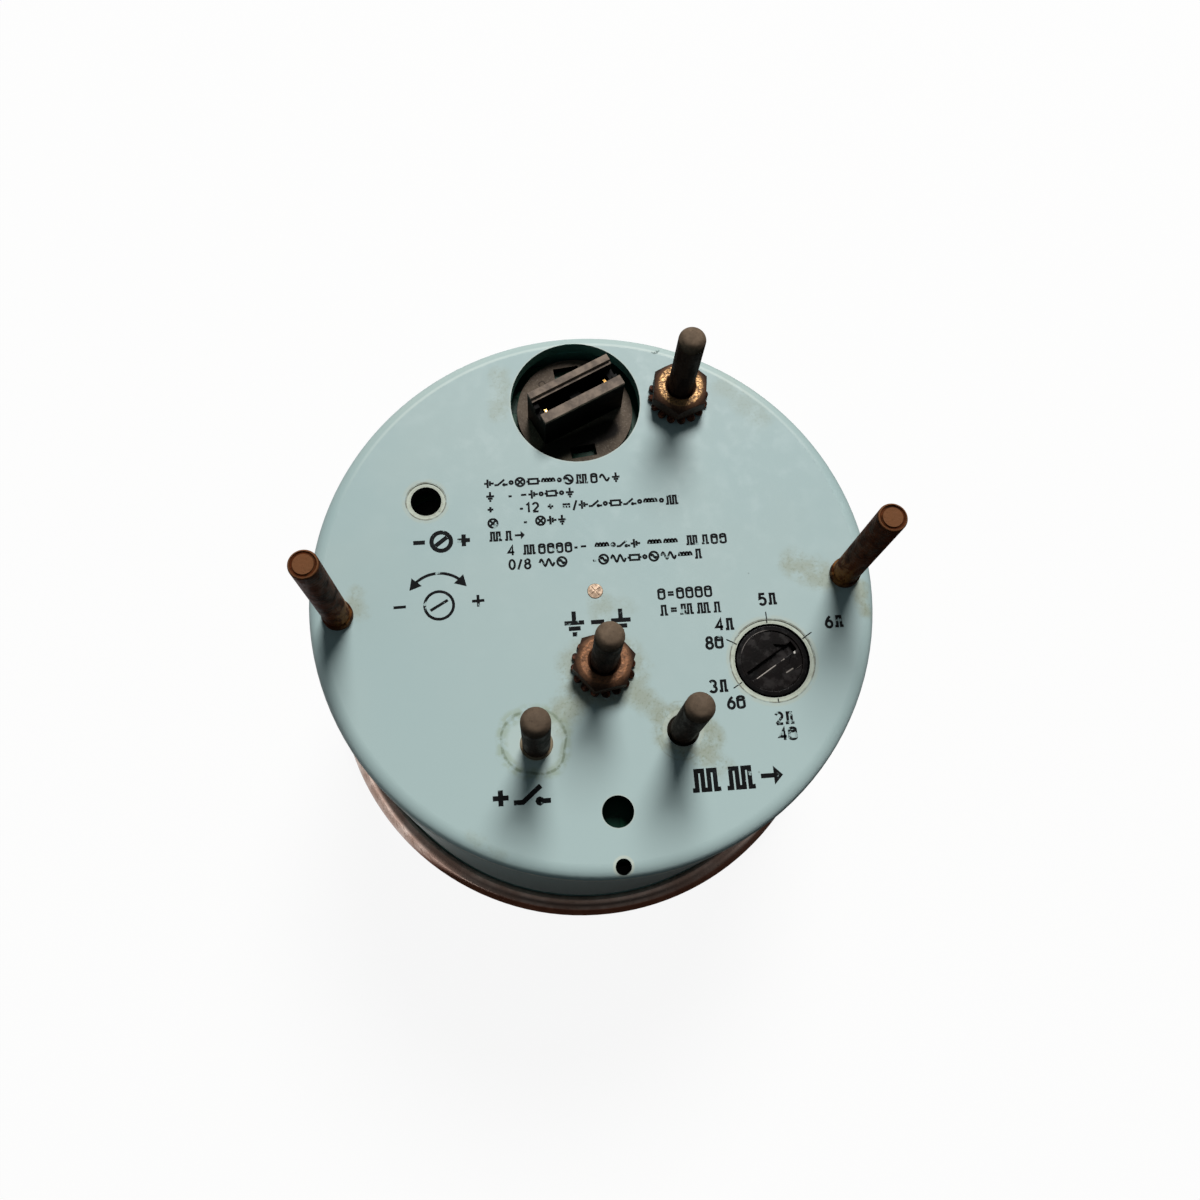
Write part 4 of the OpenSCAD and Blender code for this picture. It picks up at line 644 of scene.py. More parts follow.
# What is seen through the lens: each key names the nodes that wear the finish
frontMouldings = {
    "lens_gasket": {"finish": "gasketRubber", "colour": "#181716", "second": "#221F1E", "roughness": 0.6,
                    "grainSize": 0.3, "grainDepth": 0.01},  # matt black rubber, slightly rough
    "reflector_ring": {"finish": "whiteAbs", "colour": "#E6E4DC", "second": "#DAD7CC", "roughness": 0.45,
                       "dust": 0.05},  # white moulding, slightly yellowed
    "dial": {"finish": "mattBlackDialPaint", "colour": "#101113", "second": "#17181A", "roughness": 0.62,
             "grainSize": 0.2, "grainDepth": 0.006, "dust": 0.04},  # sprayed matt black on sheet, fine grain
    "pointer": {"finish": "fluorescentOrangePaint", "colour": "#E2491E", "second": "#D8431B", "roughness": 0.5,
                "dust": 0.03},  # flat bright orange
    "pointer_cap": {"finish": "blackAbsCap", "colour": "#141414", "second": "#1C1B1B", "roughness": 0.3,
                    "edge": 0.1},  # glossy black moulding
}
frontMetals = {
    "dial_screws stop_pin": {"finish": "blackenedSteel", "colour": "#2C2B2C", "tarnish": "#1C1B1B",
                             "roughness": 0.35, "edge": 0.08},  # dark oiled steel
}
dress(makeBezelChrome(), "bezel")
dress(makeLensGlass(), "lens", "bulb_glass")
dressAll(makeMoulded, frontMouldings)
dressAll(makeMetal, frontMetals)
print("front dressed")

innerMetals = {
    "spindle": {"finish": "groundSteel", "colour": "#B9BABD", "tarnish": "#9A9A9C", "roughness": 0.18,
                "spots": 0.1},  # bright, smooth
    "spacers board_screws": {"finish": "zincPlatedSteel", "colour": "#B7B3A8", "tarnish": "#94907F",
                             "roughness": 0.3, "spots": 0.15, "edge": 0.08},  # greyish yellow, softly shiny
    "shield_can": {"finish": "drawnNickelIron", "colour": "#A9A59C", "tarnish": "#8A867B", "roughness": 0.28,
                   "spots": 0.1},  # warm grey, satin from annealing
    "chip_legs": {"finish": "tinnedCopper", "colour": "#C4C4C0", "tarnish": "#A5A5A0", "roughness": 0.3,
                  "spots": 0.1},  # pale grey, dull in patches
    "bulb_filament": {"finish": "drawnTungsten", "colour": "#7A7A7C", "tarnish": "#58585A",
                      "roughness": 0.35},  # dark grey wire
}
innerMouldings = {
    "rotor_magnet": {"finish": "sinteredFerrite", "colour": "#3A3A3D", "second": "#303033", "roughness": 0.6,
                     "grainSize": 0.2, "grainDepth": 0.01},  # charcoal grey, stony
    "bobbin_front bobbin_rear": {"finish": "naturalNylon", "colour": "#DCD6C2", "second": "#D0C9B2",
                                 "roughness": 0.5},  # cream, waxy
    "chip transistor diodes": {"finish": "mouldedEpoxy", "colour": "#1A1A1B", "second": "#222223",
                               "roughness": 0.5, "grainSize": 0.08},  # black, very fine texture
    "capacitors": {"finish": "pvcSleeve", "colour": "#1D2C5E", "second": "#182550",
                   "roughness": 0.35},  # blue shrunk sleeve, smooth
    "film_capacitor": {"finish": "dippedEpoxy", "colour": "#B98A24", "second": "#A97C1E",
                       "roughness": 0.35},  # mustard, glossy
}
dressAll(makeMetal, innerMetals)
dressAll(makeMoulded, innerMouldings)

coilLook = {"wire": "#A9552B", "second": "#8C4321", "troughShade": "#4A2010", "roughness": 0.3, "metallic": 0.7,
            "rowScale": 0.9, "rowDepth": 0.05}


def makeCoilWire():
    # Enamelled copper wire wound in layers: rows of fine round ridges 0.35 mm apart, reddish and glossy, with
    # painted shade in the troughs between them
    material, tree, place = startMaterial("enamelledCopperWinding")
    look = coilLook
    rows = addNode(tree, "TexWave", {"Vector": place, "Scale": look["rowScale"], "Distortion": 0.4}, take=1,
                   bands_direction="DIAGONAL")
    tone = cloudPatches(tree, place, 1.5, 0.35, 0.65)
    troughShading = addNode(tree, "MapRange", {0: rows, 1: 0.0, 2: 0.4, 3: 1.0, 4: 0.0})
    colour = layCoats(tree, look["wire"], (1.0, look["second"], tone), (0.6, look["troughShade"], troughShading))
    shader = {"Base Color": colour, "Roughness": look["roughness"], "Metallic": look["metallic"]}
    finishSurface(tree, shader, [(rows, look["rowDepth"])])
    return material


boardLook = {"mask": "#174A35", "bare": "#0C3326", "fibre": "#0A241B", "edge": "#2F5A3A", "cellSize": 4.5,
             "lowFace": 52.2, "topFace": 53.6, "roughness": 0.34}


def makeBoard():
    # Glass-epoxy board with green solder mask: copper areas paler under it, a fibrous pale edge, glossy
    material, tree, place = startMaterial("greenSolderMask")
    look = boardLook
    cells = addNode(tree, "TexVoronoi", {"Vector": place, "Scale": 1 / look["cellSize"], "Randomness": 0.8},
                    distance="CHEBYCHEV")
    copper = addNode(tree, "MapRange", {0: cells, 1: 0.30, 2: 0.34})
    fibre = cloudPatches(tree, place, 0.8, 0.4, 0.6)
    above = alongAxis(tree, place, 2, look["lowFace"], look["lowFace"] + 0.1)
    below = alongAxis(tree, place, 2, look["topFace"], look["topFace"] - 0.1)
    colour = layCoats(tree, look["bare"], (1.0, look["mask"], copper), (0.2, look["fibre"], fibre),
                      (0.9, look["edge"], above, below))
    shader = {"Base Color": colour, "Roughness": look["roughness"], "IOR": 1.5, "Specular IOR Level": 0.12}
    finishSurface(tree, shader, [(copper, 0.03)])
    return material


resistorLook = {
    "lacquer": "#CBB690", "wire": "#BDBDB8", "bodyEnd": 3.16, "bandHalf": 0.28, "reach": 6.0,
    "bands": ((-2.2, "#7A3B1D"), (-1.1, "#2A2A2A"), (0.0, "#B23A22"), (1.9, "#B98F3A")),
    # Groups of resistors that lie along X: middle, from and to along Y
    "groups": {"upperRight": (14.5, 0.0, 23.0), "upperLeft": (-17.0, 21.0, 33.0), "lower": (0.0, -36.0, -28.0)},
}


def makeBandedResistor():
    # Carbon film resistors in beige lacquer, with painted bands across their length and tinned wires
    material, tree, place = startMaterial("beigeLacquer")
    look = resistorLook
    colour, metallic = look["lacquer"], 0.0
    for centre, low, high in look["groups"].values():
        along = addNode(tree, "SeparateXYZ", {0: place})
        offset = addNode(tree, "Math", {0: along, 1: centre}, operation="SUBTRACT")
        length = addNode(tree, "Math", {0: offset}, operation="ABSOLUTE")
        inGroup = overlap(tree, alongAxis(tree, place, 1, low, low + 0.1),
                          alongAxis(tree, place, 1, high + 0.1, high))
        near = addNode(tree, "Math", {0: length, 1: look["reach"]}, operation="LESS_THAN")
        pastBody = addNode(tree, "MapRange", {0: length, 1: look["bodyEnd"], 2: look["bodyEnd"] + 0.02})
        wire = overlap(tree, pastBody, near, inGroup)
        colour = layCoats(tree, colour, (1.0, look["wire"], wire))
        for shift, tint in look["bands"]:
            band = addNode(tree, "Math", {0: offset, 1: shift, 2: look["bandHalf"]}, operation="COMPARE")
            colour = layCoats(tree, colour, (1.0, tint, band, inGroup))
        metallic = addNode(tree, "Math", {0: wire, 1: metallic}, operation="MAXIMUM")
    fine = addNode(tree, "TexNoise", {"Vector": place, "Scale": 1 / 0.4, "Detail": 3.0})
    finishSurface(tree, {"Base Color": colour, "Roughness": 0.35, "Metallic": metallic}, [(fine, 0.01)])
    return material


dress(makeCoilWire(), "inner_coils", "outer_coils", "coil_wires")
dress(makeBoard(), "circuit_board")
dress(makeBandedResistor(), "resistors")
print("movement and board dressed")


def oval(centre, reach, begin=0, end=360, count=19):  # points on an ellipse between two directions in degrees
    angle = np.radians(np.linspace(begin, end, count))
    return np.stack([centre[0] + reach[0] * np.cos(angle), centre[1] + reach[1] * np.sin(angle)], axis=1)


def ripple(start, length, middle, height, turns):  # points on a sine wave
    share = np.linspace(0, 1, 8 * int(turns) + 9)
    return np.stack([start + length * share, middle + height * np.sin(2 * math.pi * turns * share)], axis=1)


# Signs as strokes in a box one high: width of the box, then paths; a third number at a point widens the stroke
disc = oval((0.47, 0.5), (0.45, 0.45), 0, 360, 25)
signs = {
    "0": (0.60, [oval((0.30, 0.5), (0.26, 0.47), 0, 360, 25)]),
    "1": (0.42, [[(0.08, 0.78), (0.30, 0.96), (0.30, 0.0)]]),
    "2": (0.60, [np.vstack([oval((0.30, 0.70), (0.26, 0.27), 165, -28, 12), [(0.04, 0.04)]]),
                 [(0.04, 0.04), (0.58, 0.04)]]),
    "3": (0.60, [oval((0.28, 0.74), (0.24, 0.23), 155, -85, 13),
                 oval((0.28, 0.27), (0.27, 0.25), 85, -155, 13)]),
    "4": (0.62, [[(0.45, 0.0), (0.45, 0.96), (0.04, 0.30), (0.62, 0.30)]]),
    "5": (0.60, [np.vstack([[(0.53, 0.96), (0.12, 0.96), (0.08, 0.56)],
                            oval((0.29, 0.32), (0.27, 0.30), 118, -150, 13)])]),
    "6": (0.60, [oval((0.30, 0.31), (0.26, 0.29), 0, 360, 21),
                 [(0.44, 0.97), (0.24, 0.78), (0.10, 0.55), (0.04, 0.31)]]),
    "8": (0.60, [oval((0.30, 0.74), (0.21, 0.22)), oval((0.30, 0.26), (0.26, 0.26), 0, 360, 21)]),
    "plus": (0.66, [[(0.04, 0.5), (0.62, 0.5)], [(0.33, 0.21), (0.33, 0.79)]]),
    "minus": (0.62, [[(0.04, 0.5), (0.58, 0.5)]]),
    "dash": (0.36, [[(0.02, 0.42), (0.34, 0.42)]]),
    "equals": (0.62, [[(0.04, 0.62), (0.58, 0.62)], [(0.04, 0.38), (0.58, 0.38)]]),
    "slash": (0.40, [[(0.02, -0.05), (0.38, 1.0)]]),
    "times": (0.60, [[(0.06, 0.22), (0.54, 0.74)], [(0.06, 0.74), (0.54, 0.22)]]),
    "gap": (0.35, []),
    "space": (0.90, []),
    "ground": (0.80, [[(0.40, 1.0), (0.40, 0.52)], [(0.0, 0.52), (0.80, 0.52)], [(0.16, 0.28), (0.64, 0.28)],
                      [(0.30, 0.04), (0.50, 0.04)]]),
    "lamp": (0.94, [disc, [(0.15, 0.18), (0.79, 0.82)], [(0.15, 0.82), (0.79, 0.18)]]),
    "joint": (0.34, [oval((0.17, 0.5), (0.16, 0.16), 0, 360, 13)]),
    "pulses": (1.30, [[(0.0, 0.08), (0.2, 0.08), (0.2, 0.92), (0.48, 0.92), (0.48, 0.08), (0.76, 0.08),
                       (0.76, 0.92), (1.04, 0.92), (1.04, 0.08), (1.26, 0.08)]]),
    "pulse": (0.72, [[(0.0, 0.08), (0.20, 0.08), (0.20, 0.92), (0.52, 0.92), (0.52, 0.08), (0.72, 0.08)]]),
    "cylinder": (0.62, [oval((0.31, 0.82), (0.27, 0.14), 0, 360, 17),
                        np.vstack([[(0.04, 0.82)], oval((0.31, 0.18), (0.27, 0.14), 180, 360, 9),
                                   [(0.58, 0.82)]])]),
    "wave": (1.00, [ripple(0.02, 0.96, 0.5, 0.34, 1)]),
    "waves": (1.50, [ripple(0.02, 1.46, 0.5, 0.34, 2)]),
    "alternator": (0.94, [oval((0.47, 0.5), (0.45, 0.47), 0, 360, 25), ripple(0.20, 0.54, 0.5, 0.18, 1)]),
    "coil": (1.36, [np.vstack([oval((x, 0.36), (0.16, 0.36), 180, 0, 9) for x in (0.18, 0.50, 0.82, 1.14)])]),
    "direct": (0.80, [[(0.02, 0.64), (0.78, 0.64)]] +
               [[(x, 0.36), (x + 0.18, 0.36)] for x in (0.02, 0.31, 0.60)]),
    "battery": (0.76, [[(-0.10, 0.5), (0.24, 0.5)], [(0.24, 0.04), (0.24, 0.96)], [(0.48, 0.24), (0.48, 0.76)],
                       [(0.48, 0.5), (0.86, 0.5)]]),
    "resistor": (1.20, [[(-0.10, 0.5), (0.14, 0.5), (0.14, 0.76), (1.06, 0.76), (1.06, 0.24), (0.14, 0.24),
                         (0.14, 0.5)], [(1.06, 0.5), (1.30, 0.5)]]),
    "switch": (1.16, [[(-0.10, 0.3), (0.24, 0.3), (0.92, 0.86)], [(0.86, 0.3), (1.26, 0.3)],
                      oval((0.86, 0.3), (0.07, 0.07), 0, 360, 9)]),
    "screw": (0.94, [disc, [(0.20, 0.30), (0.74, 0.70)]]),
    "arrow": (1.00, [[(0.0, 0.5), (0.66, 0.5)], [(0.58, 0.5, 4.2), (0.98, 0.5, 0.1)]]),
}


# Signs set side by side on a baseline, scaled to the height and turned about the row's start; on the dial,
# which is read from the front, X runs the other way
def writeRow(row, start, height, turn=0.0, space=0.24, centred=False, facing=1):
    spin = math.radians(turn)
    turning = np.array([[math.cos(spin), math.sin(spin)], [-math.sin(spin), math.cos(spin)]])
    row = row.split()
    wide = sum(signs[sign][0] + space for sign in row) - space
    pen = -wide / 2 if centred else 0.0
    lines = []
    for sign in row:
        width, paths = signs[sign]
        for path in paths:
            line = np.array([(*point, 1.0)[:3] for point in path], float)
            flat = (line[:, :2] + (pen, -0.5 if centred else 0.0)) * height * (facing, 1)
            line[:, :2] = flat @ turning + start
            lines.append(line)
        pen += width + space
    return lines


def makeMesh(name, points, faces):
    mesh = bpy.data.meshes.new(name)
    mesh.from_pydata(points.tolist(), [], faces.tolist())
    mesh.update()
    piece = bpy.data.objects.new(name, mesh)
    bpy.context.scene.collection.objects.link(piece)
    return piece


# A flat bar along each path: four corners are carried from point to point, half the width to both sides along
# the mean of the two directions that meet there and divided by the cosine of half their angle, so that
# corners stay sharp; later bars lie a hair higher where they cross
def barsAlong(name, paths, width, low, high, lift=0.0015):
    allPoints, allFaces, start = [], [], 0
    for number, line in enumerate(paths):
        line = np.asarray(line, float)
        closed = len(line) > 3 and np.allclose(line[0, :2], line[-1, :2])
        if closed:
            line = line[:-1]
        path, wide = line[:, :2], (line[:, 2] if line.shape[1] == 3 else np.ones(len(line)))
        count = len(path)
        step = np.roll(path, -1, axis=0) - path
        step /= np.maximum(np.linalg.norm(step, axis=1, keepdims=True), 1e-9)
        if not closed:
            step[-1] = step[-2]
        before = np.roll(step, 1, axis=0)
        if not closed:
            before[0] = step[0]
        mean = before + step
        mean /= np.maximum(np.linalg.norm(mean, axis=1, keepdims=True), 1e-9)
        reach = width * wide / 2 / np.clip((mean * step).sum(axis=1), 0.5, 1.0)
        side = np.stack([-mean[:, 1], mean[:, 0]], axis=1) * reach[:, None]
        top = high + np.sign(high - low) * lift * (number % 3)
        corners = [(path + side, low), (path - side, low), (path - side, top), (path + side, top)]
        rings = np.stack([np.column_stack([flat, np.full(count, level)]) for flat, level in corners], axis=1)
        row = np.arange(count if closed else count - 1)[:, None]
        column = np.arange(4)[None, :]
        after, beside = (row + 1) % count * 4, (column + 1) % 4
        quads = np.stack([row * 4 + column, after + column, after + beside, row * 4 + beside], axis=-1)
        quads = quads.reshape(-1, 4)
        if not closed:
            quads = np.vstack([quads, [0, 1, 2, 3], count * 4 - np.arange(1, 5)])
        allPoints.append(rings.reshape(-1, 3))
        allFaces.append(quads + start)
        start += 4 * count
    return makeMesh(name, np.vstack(allPoints) * mm, np.vstack(allFaces))


def settle(piece, material):  # gives a finished piece its material and its body
    piece.data.materials.append(material)
    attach(piece, "housing")


# Rear plate: what is printed in black. Rows start at their left end; sizes in mm, turn in degrees
printLook = {
    "ink": "#060708", "faded": "#2A3134", "low": 58.49, "high": 58.515, "turn": -1.3,
    "tableHeight": 1.50, "tableStroke": 0.32, "tableSpace": 0.26,
    "table": {
        "wiringRow": ((-14.9, 16.9), "battery switch joint lamp resistor coil joint alternator pulses "
                                     "cylinder wave ground"),
        "groundRow": ((-14.9, 14.8), "ground space dash gap minus battery joint resistor joint ground"),
        "supplyRow": ((-14.9, 12.7), "plus space space dash 1 2 gap plus gap direct slash battery switch joint "
                                     "resistor switch joint coil joint pulses"),
        "lampRow": ((-14.9, 10.5), "lamp space space dash gap lamp battery ground"),
        "signalRow": ((-14.9, 8.4), "pulses pulse arrow"),
        "coilRow": ((-12.3, 6.0), "4 gap pulses cylinder cylinder cylinder cylinder dash minus gap coil joint "
                                  "switch battery gap coil coil gap pulses pulse cylinder cylinder"),
        "alternatorRow": ((-12.3, 3.8), "0 slash 8 gap waves alternator space space dash alternator waves "
                                        "resistor joint alternator waves coil pulse"),
    },
    "legendHeight": 1.62, "legendStroke": 0.32,
    "legend": {
        "cylinderRow": ((9.2, -2.7), "cylinder equals cylinder cylinder cylinder cylinder"),
        "pulseRow": ((9.2, -5.2), "pulse equals pulses pulses pulse"),
    },
    # Start, height, stroke and signs of the large labels
    "labels": {
        "groundLabel": ((-5.0, -7.0), 3.6, 0.64, "ground minus ground"),
        "ignitionLabel": ((-17.4, -31.3), 3.8, 0.70, "plus switch"),
        "senderLabel": ((10.8, -31.2), 3.2, 0.64, "pulses pulses arrow"),
        "calibrationLabel": ((-26.3, 7.5), 3.2, 0.64, "minus screw plus"),
    },
    "numberHeight": 1.75, "numberStroke": 0.39,
    "numbers": {
        "five": ("5 pulse", (25.4, -4.0)), "sixRight": ("6 pulse", (34.8, -8.3)),
        "fourUpper": ("4 pulse", (18.5, -7.3)), "eight": ("8 cylinder", (16.6, -9.9)),
        "three": ("3 pulse", (16.4, -16.4)), "sixLower": ("6 cylinder", (18.6, -19.0)),
        "two": ("2 pulse", (25.3, -21.9)), "fourLower": ("4 cylinder", (25.4, -24.2)),
    },
    # Directions in degrees round the selector, with how far out each tick reaches
    "ticks": {30: 7.35, 90: 7.35, 150: 7.35, 210: 7.25, 270: 6.30}, "tickInner": 5.66, "tickWidth": 0.17,
    "turnSign": (-22.9, -0.8), "turnSignStroke": 0.42, "headRadius": 2.1, "arcRadius": 4.9,
    "worn": ((25.3, -21.9), (25.4, -24.2), (18.4, -30.0)),
}


def makeInk():
    # Screen-printed black ink, worn through in places so that the enamel below shows
    material, tree, place = startMaterial("wornScreenInk")
    look = printLook
    cloud = addNode(tree, "TexNoise", {"Vector": place, "Scale": 1 / 1.2, "Detail": 4.0, "Roughness": 0.55})
    for centre in look["worn"]:
        rubbed = nearPoint(tree, place, centre, 0.4, 3.0)
        cloud = addNode(tree, "Math", {0: rubbed, 1: 0.06, 2: cloud}, operation="MULTIPLY_ADD")
    gone = addNode(tree, "MapRange", {0: cloud, 1: 0.625, 2: 0.665})
    fading = cloudPatches(tree, place, 2.5, 0.40, 0.75, 3.0)
    colour = layCoats(tree, look["ink"], (0.20, look["faded"], fading), (0.92, caseLook["paint"], gone))
    grain = addNode(tree, "TexNoise", {"Vector": place, "Scale": 1 / 0.2, "Detail": 2.0})
    shader = {"Base Color": colour, "Roughness": 0.6, "IOR": 1.5, "Specular IOR Level": 0.08}
    finishSurface(tree, shader, [(grain, 0.004)])
    return material


def printPlate():
    look, ink = printLook, makeInk()
    low, high, turn = look["low"], look["high"], look["turn"]
    for kind, space in (("table", look["tableSpace"]), ("legend", 0.24)):
        for name, (start, row) in look[kind].items():
            lines = writeRow(row, start, look[kind + "Height"], turn, space)
            settle(barsAlong(name, lines, look[kind + "Stroke"], low, high), ink)
    for name, (start, height, stroke, row) in look["labels"].items():
        settle(barsAlong(name, writeRow(row, start, height, turn), stroke, low, high), ink)
    for key, (row, centre) in look["numbers"].items():
        lines = writeRow(row, centre, look["numberHeight"], turn, 0.20, centred=True)
        settle(barsAlong("selectorNumber_" + key, lines, look["numberStroke"], low, high), ink)

    # Each tick in two lengths: on the pale shoulder, which lies lower, and on the plate
    inner, outer = [], []
    edge, width, shoulder = part["selectorHole"] + 0.60, look["tickWidth"], part["shoulderFace"]
    for degrees, reach in look["ticks"].items():
        way = np.array([math.cos(math.radians(degrees)), math.sin(math.radians(degrees))])
        inner.append([part["selector"] + way * look["tickInner"], part["selector"] + way * edge])
        outer.append([part["selector"] + way * (edge + 0.02), part["selector"] + way * reach])
    settle(barsAlong("selectorTicksPlate", outer, width, low, high), ink)
    settle(barsAlong("selectorTicksShoulder", inner, width, shoulder - 0.01, shoulder + 0.015), ink)

    # How to turn the calibration screw: its slotted head, and an arc with an arrow at each end between two bars
    middle, head, arc = np.array(look["turnSign"]), look["headRadius"], look["arcRadius"]
    sweep = oval(middle, (arc, arc), 152, 28, 33)
    sign = [oval(middle, (head, head), 0, 360, 33), [middle + (-1.3, -0.7), middle + (1.3, 0.7)], sweep[4:-4]]
    for tipIndex, backIndex in ((1, 6), (-2, -7)):
        sign.append([(*sweep[backIndex], 4.6), (*sweep[tipIndex], 0.1)])
    sign += [[middle + start, middle + end] for start, end in
             (((-6.6, 0.2), (-4.8, 0.2)), ((4.8, 0.2), (6.6, 0.2)), ((5.7, -0.7), (5.7, 1.1)))]
    settle(barsAlong("calibrationSign", sign, look["turnSignStroke"], low, high), ink)


printPlate()
print("rear plate printed")

# Dial: seven numbers on a 240 degree sweep from the pointer's rest, ticks between them
dialPrint = {"ink": "#E9E9E2", "faded": "#DCDCD2", "numbers": 7, "start": -30.0, "sweep": 240.0,
             "numberRadius": 25.2, "numberHeight": 5.0, "numberStroke": 0.85, "outer": 35.2, "major": 4.6,
             "majorWidth": 1.0, "minor": 2.4, "minorWidth": 0.45, "minorPerMajor": 5, "thickness": 0.05,
             "factorPlace": (0.0, -14.0), "factorHeight": 2.6, "factorStroke": 0.42}


def printDial():
    # White screen ink on the dial: even, matt and slightly warm
    material, tree, place = startMaterial("whiteDialInk")
    look = dialPrint
    fade = cloudPatches(tree, place, 2.0, 0.3, 0.8, 3.0)
    colour = layCoats(tree, look["ink"], (1.0, look["faded"], fade))
    grain = addNode(tree, "TexNoise", {"Vector": place, "Scale": 1 / 0.2, "Detail": 2.0})
    finishSurface(tree, {"Base Color": colour, "Roughness": 0.5, "IOR": 1.5}, [(grain, 0.004)])

    low, high = part["dialFace"] + 0.01, part["dialFace"] - look["thickness"]

    def printBars(name, lines, width):
        settle(barsAlong(name, lines, width, high, low, 0.0), material)

    share = np.linspace(0, 1, (look["numbers"] - 1) * look["minorPerMajor"] + 1)
    angle = np.radians(look["start"] + look["sweep"] * share)
    way = np.stack([np.cos(angle), np.sin(angle)], axis=1)
    isMajor = np.arange(len(share)) % look["minorPerMajor"] == 0
    for name, chosen, kind in (("dialMajorTicks", isMajor, "major"), ("dialMinorTicks", ~isMajor, "minor")):
        ticks = [[w * (look["outer"] - look[kind]), w * look["outer"]] for w in way[chosen]]
        printBars(name, ticks, look[kind + "Width"])
    for number, direction in enumerate(way[isMajor]):
        start = direction * look["numberRadius"]
        lines = writeRow(str(number), start, look["numberHeight"], 0.0, 0.2, True, -1)
        printBars("dialNumber_" + str(number), lines, look["numberStroke"])
    factor = writeRow("times gap 1 0 0 0", look["factorPlace"], look["factorHeight"], 0.0, 0.22, True, -1)
    printBars("dialFactor", factor, look["factorStroke"])


printDial()
print("dial printed")

studio = {
    "floorColour": "#383736", "floorSecond": "#333231", "floorPale": "#EEECE8", "floorWhiteness": 0.92,
    "floorGloss": 0.09, "floorBrown": "#C08A70", "floorLeft": 0.95, "cardFrom": 12.0, "cardTo": 22.0,
    "ambient": 0.062, "ambientLeft": 0.18, "ambientTint": "#DBF3FF", "ceiling": 0.12, "dimSide": 0.06,
    "walls": 0.8, "keyWatts": 63.2, "keyDistance": 2.4, "keySize": 0.98, "keyWay": (0.165, 0.585, 0.80),
    "cameraPlace": (-11.454, -46.011, 212.210), "cameraTurn": (16.292, -2.807, -5.786), "lens": 32.69,
}


def makeFloor():
    # Paper that gives back little light, seen as nearly white with the object's shadow on it; in reflections it
    # is dim, but for a white card to the left
    half = 1.5
    corners = np.array([(-half, -half, 0), (half, -half, 0), (half, half, 0), (-half, half, 0)])
    floor = makeMesh("floor", corners, np.array([(0, 1, 2, 3)]))
    floor.location.z = -0.0002
    material, tree, place = startMaterial("paleFloorPaper")
    fibres = addNode(tree, "TexNoise", {"Vector": place, "Scale": 0.9, "Detail": 3.0})
    path = tree.nodes.new("ShaderNodeLightPath").outputs
    direct = {0: path["Is Camera Ray"], 1: path["Is Transmission Ray"]}
    straight = addNode(tree, "Math", direct, operation="MAXIMUM")
    shade = layCoats(tree, studio["floorColour"], (1.0, studio["floorSecond"], fibres),
                     (1.0, studio["floorPale"], straight))
    paper = addNode(tree, "BsdfDiffuse", {"Color": shade})
    leftward = addNode(tree, "VectorMath", {0: place, 1: (-0.9, 0.45, 0)}, take=1, operation="DOT_PRODUCT")
    onCard = addNode(tree, "MapRange", {0: leftward, 1: studio["cardFrom"], 2: studio["cardTo"]})
    card = addNode(tree, "MapRange", {0: onCard, 3: studio["floorGloss"], 4: studio["floorLeft"]})
    isWhite = addNode(tree, "Math", {0: straight, 1: onCard}, operation="MAXIMUM")
    white = layCoats(tree, studio["floorBrown"], (1.0, "#FFFFFF", isWhite))
    white = addNode(tree, "Emission", {"Color": white, "Strength": 1.0})
    mirrored = overlap(tree, card, path["Is Glossy Ray"])
    seeing = {0: straight, 1: studio["floorWhiteness"], 2: mirrored}
    seen = addNode(tree, "Math", seeing, operation="MULTIPLY_ADD")
    mixed = addNode(tree, "MixShader", {0: seen, 1: paper, 2: white})
    addNode(tree, "OutputMaterial", {"Surface": mixed})
    floor.data.materials.append(material)


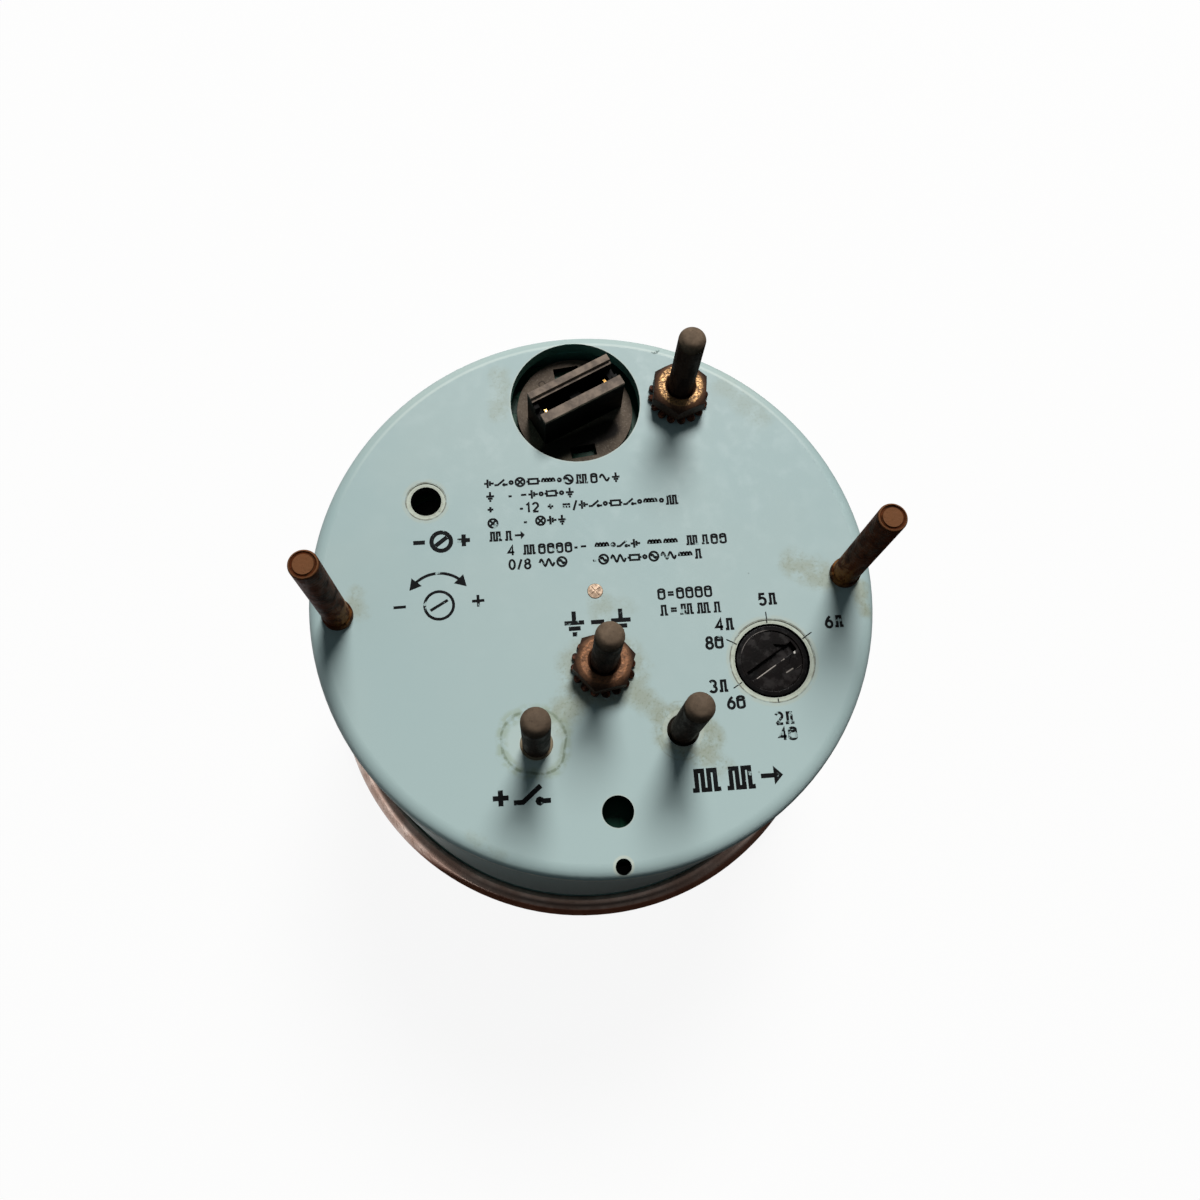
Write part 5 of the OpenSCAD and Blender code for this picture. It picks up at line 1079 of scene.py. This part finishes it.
def makeWorld():
    # A white room: full white to the camera and through glass. What shines sees the white walls too, with a
    # dimmer ceiling and a dim side towards -Y, and the light that the room adds is faint and bluish
    world = bpy.data.worlds.new("studioRoom")
    world.use_nodes = True
    tree = world.node_tree
    tree.nodes.clear()
    way = addNode(tree, "TexCoord", take="Generated")
    ceiling = alongAxis(tree, way, 2, 0.45, 0.80, 1.0, studio["ceiling"], "SMOOTHSTEP")
    rear = alongAxis(tree, way, 1, -0.70, -0.20, studio["dimSide"], studio["walls"], "SMOOTHSTEP")
    left = alongAxis(tree, way, 0, -0.58, -0.80, ease="SMOOTHSTEP")
    faint = alongAxis(tree, way, 0, -0.35, -0.85, studio["ambient"], studio["ambientLeft"])
    walls = addNode(tree, "Math", {0: rear, 1: left}, operation="MAXIMUM")
    path = tree.nodes.new("ShaderNodeLightPath").outputs
    glossy = path["Is Glossy Ray"]
    direct = {0: path["Is Camera Ray"], 1: path["Is Transmission Ray"]}
    straight = addNode(tree, "Math", direct, operation="MAXIMUM")
    shining = overlap(tree, overlap(tree, walls, ceiling), glossy)
    seen = addNode(tree, "Math", {0: straight, 1: shining}, operation="MAXIMUM")
    isSeen = addNode(tree, "Math", {0: straight, 1: glossy}, operation="MAXIMUM")
    strength = addNode(tree, "Mix", {0: isSeen, 2: faint, 3: seen}, data_type="FLOAT")
    tint = layCoats(tree, studio["ambientTint"], (1.0, "#FFFFFF", isSeen))
    room = addNode(tree, "Background", {"Color": tint, "Strength": strength})
    addNode(tree, "OutputWorld", {"Surface": room})
    bpy.context.scene.world = world


def makeKeyLight():
    lamp = bpy.data.lights.new("softKey", "AREA")
    lamp.shape = "DISK"
    lamp.size = studio["keySize"]
    lamp.energy = studio["keyWatts"]
    way = np.array(studio["keyWay"]) / np.linalg.norm(studio["keyWay"])
    holder = bpy.data.objects.new("softKey", lamp)
    holder.location = way * studio["keyDistance"] + np.array([0, 0, 0.05])
    holder.rotation_euler = Vector(way).to_track_quat("Z", "Y").to_euler()
    bpy.context.scene.collection.objects.link(holder)


def makeCamera():
    camera = bpy.data.cameras.new("photoCamera")
    camera.sensor_width = 36
    camera.lens = studio["lens"]
    camera.clip_start = 0.01
    holder = bpy.data.objects.new("photoCamera", camera)
    holder.location = [value * mm for value in studio["cameraPlace"]]
    holder.rotation_euler = [math.radians(value) for value in studio["cameraTurn"]]
    bpy.context.scene.collection.objects.link(holder)
    bpy.context.scene.camera = holder


makeFloor()
makeWorld()
makeKeyLight()
makeCamera()
bpy.context.scene.view_settings.view_transform = "Standard"
print("stage set")

bpy.context.view_layer.update()
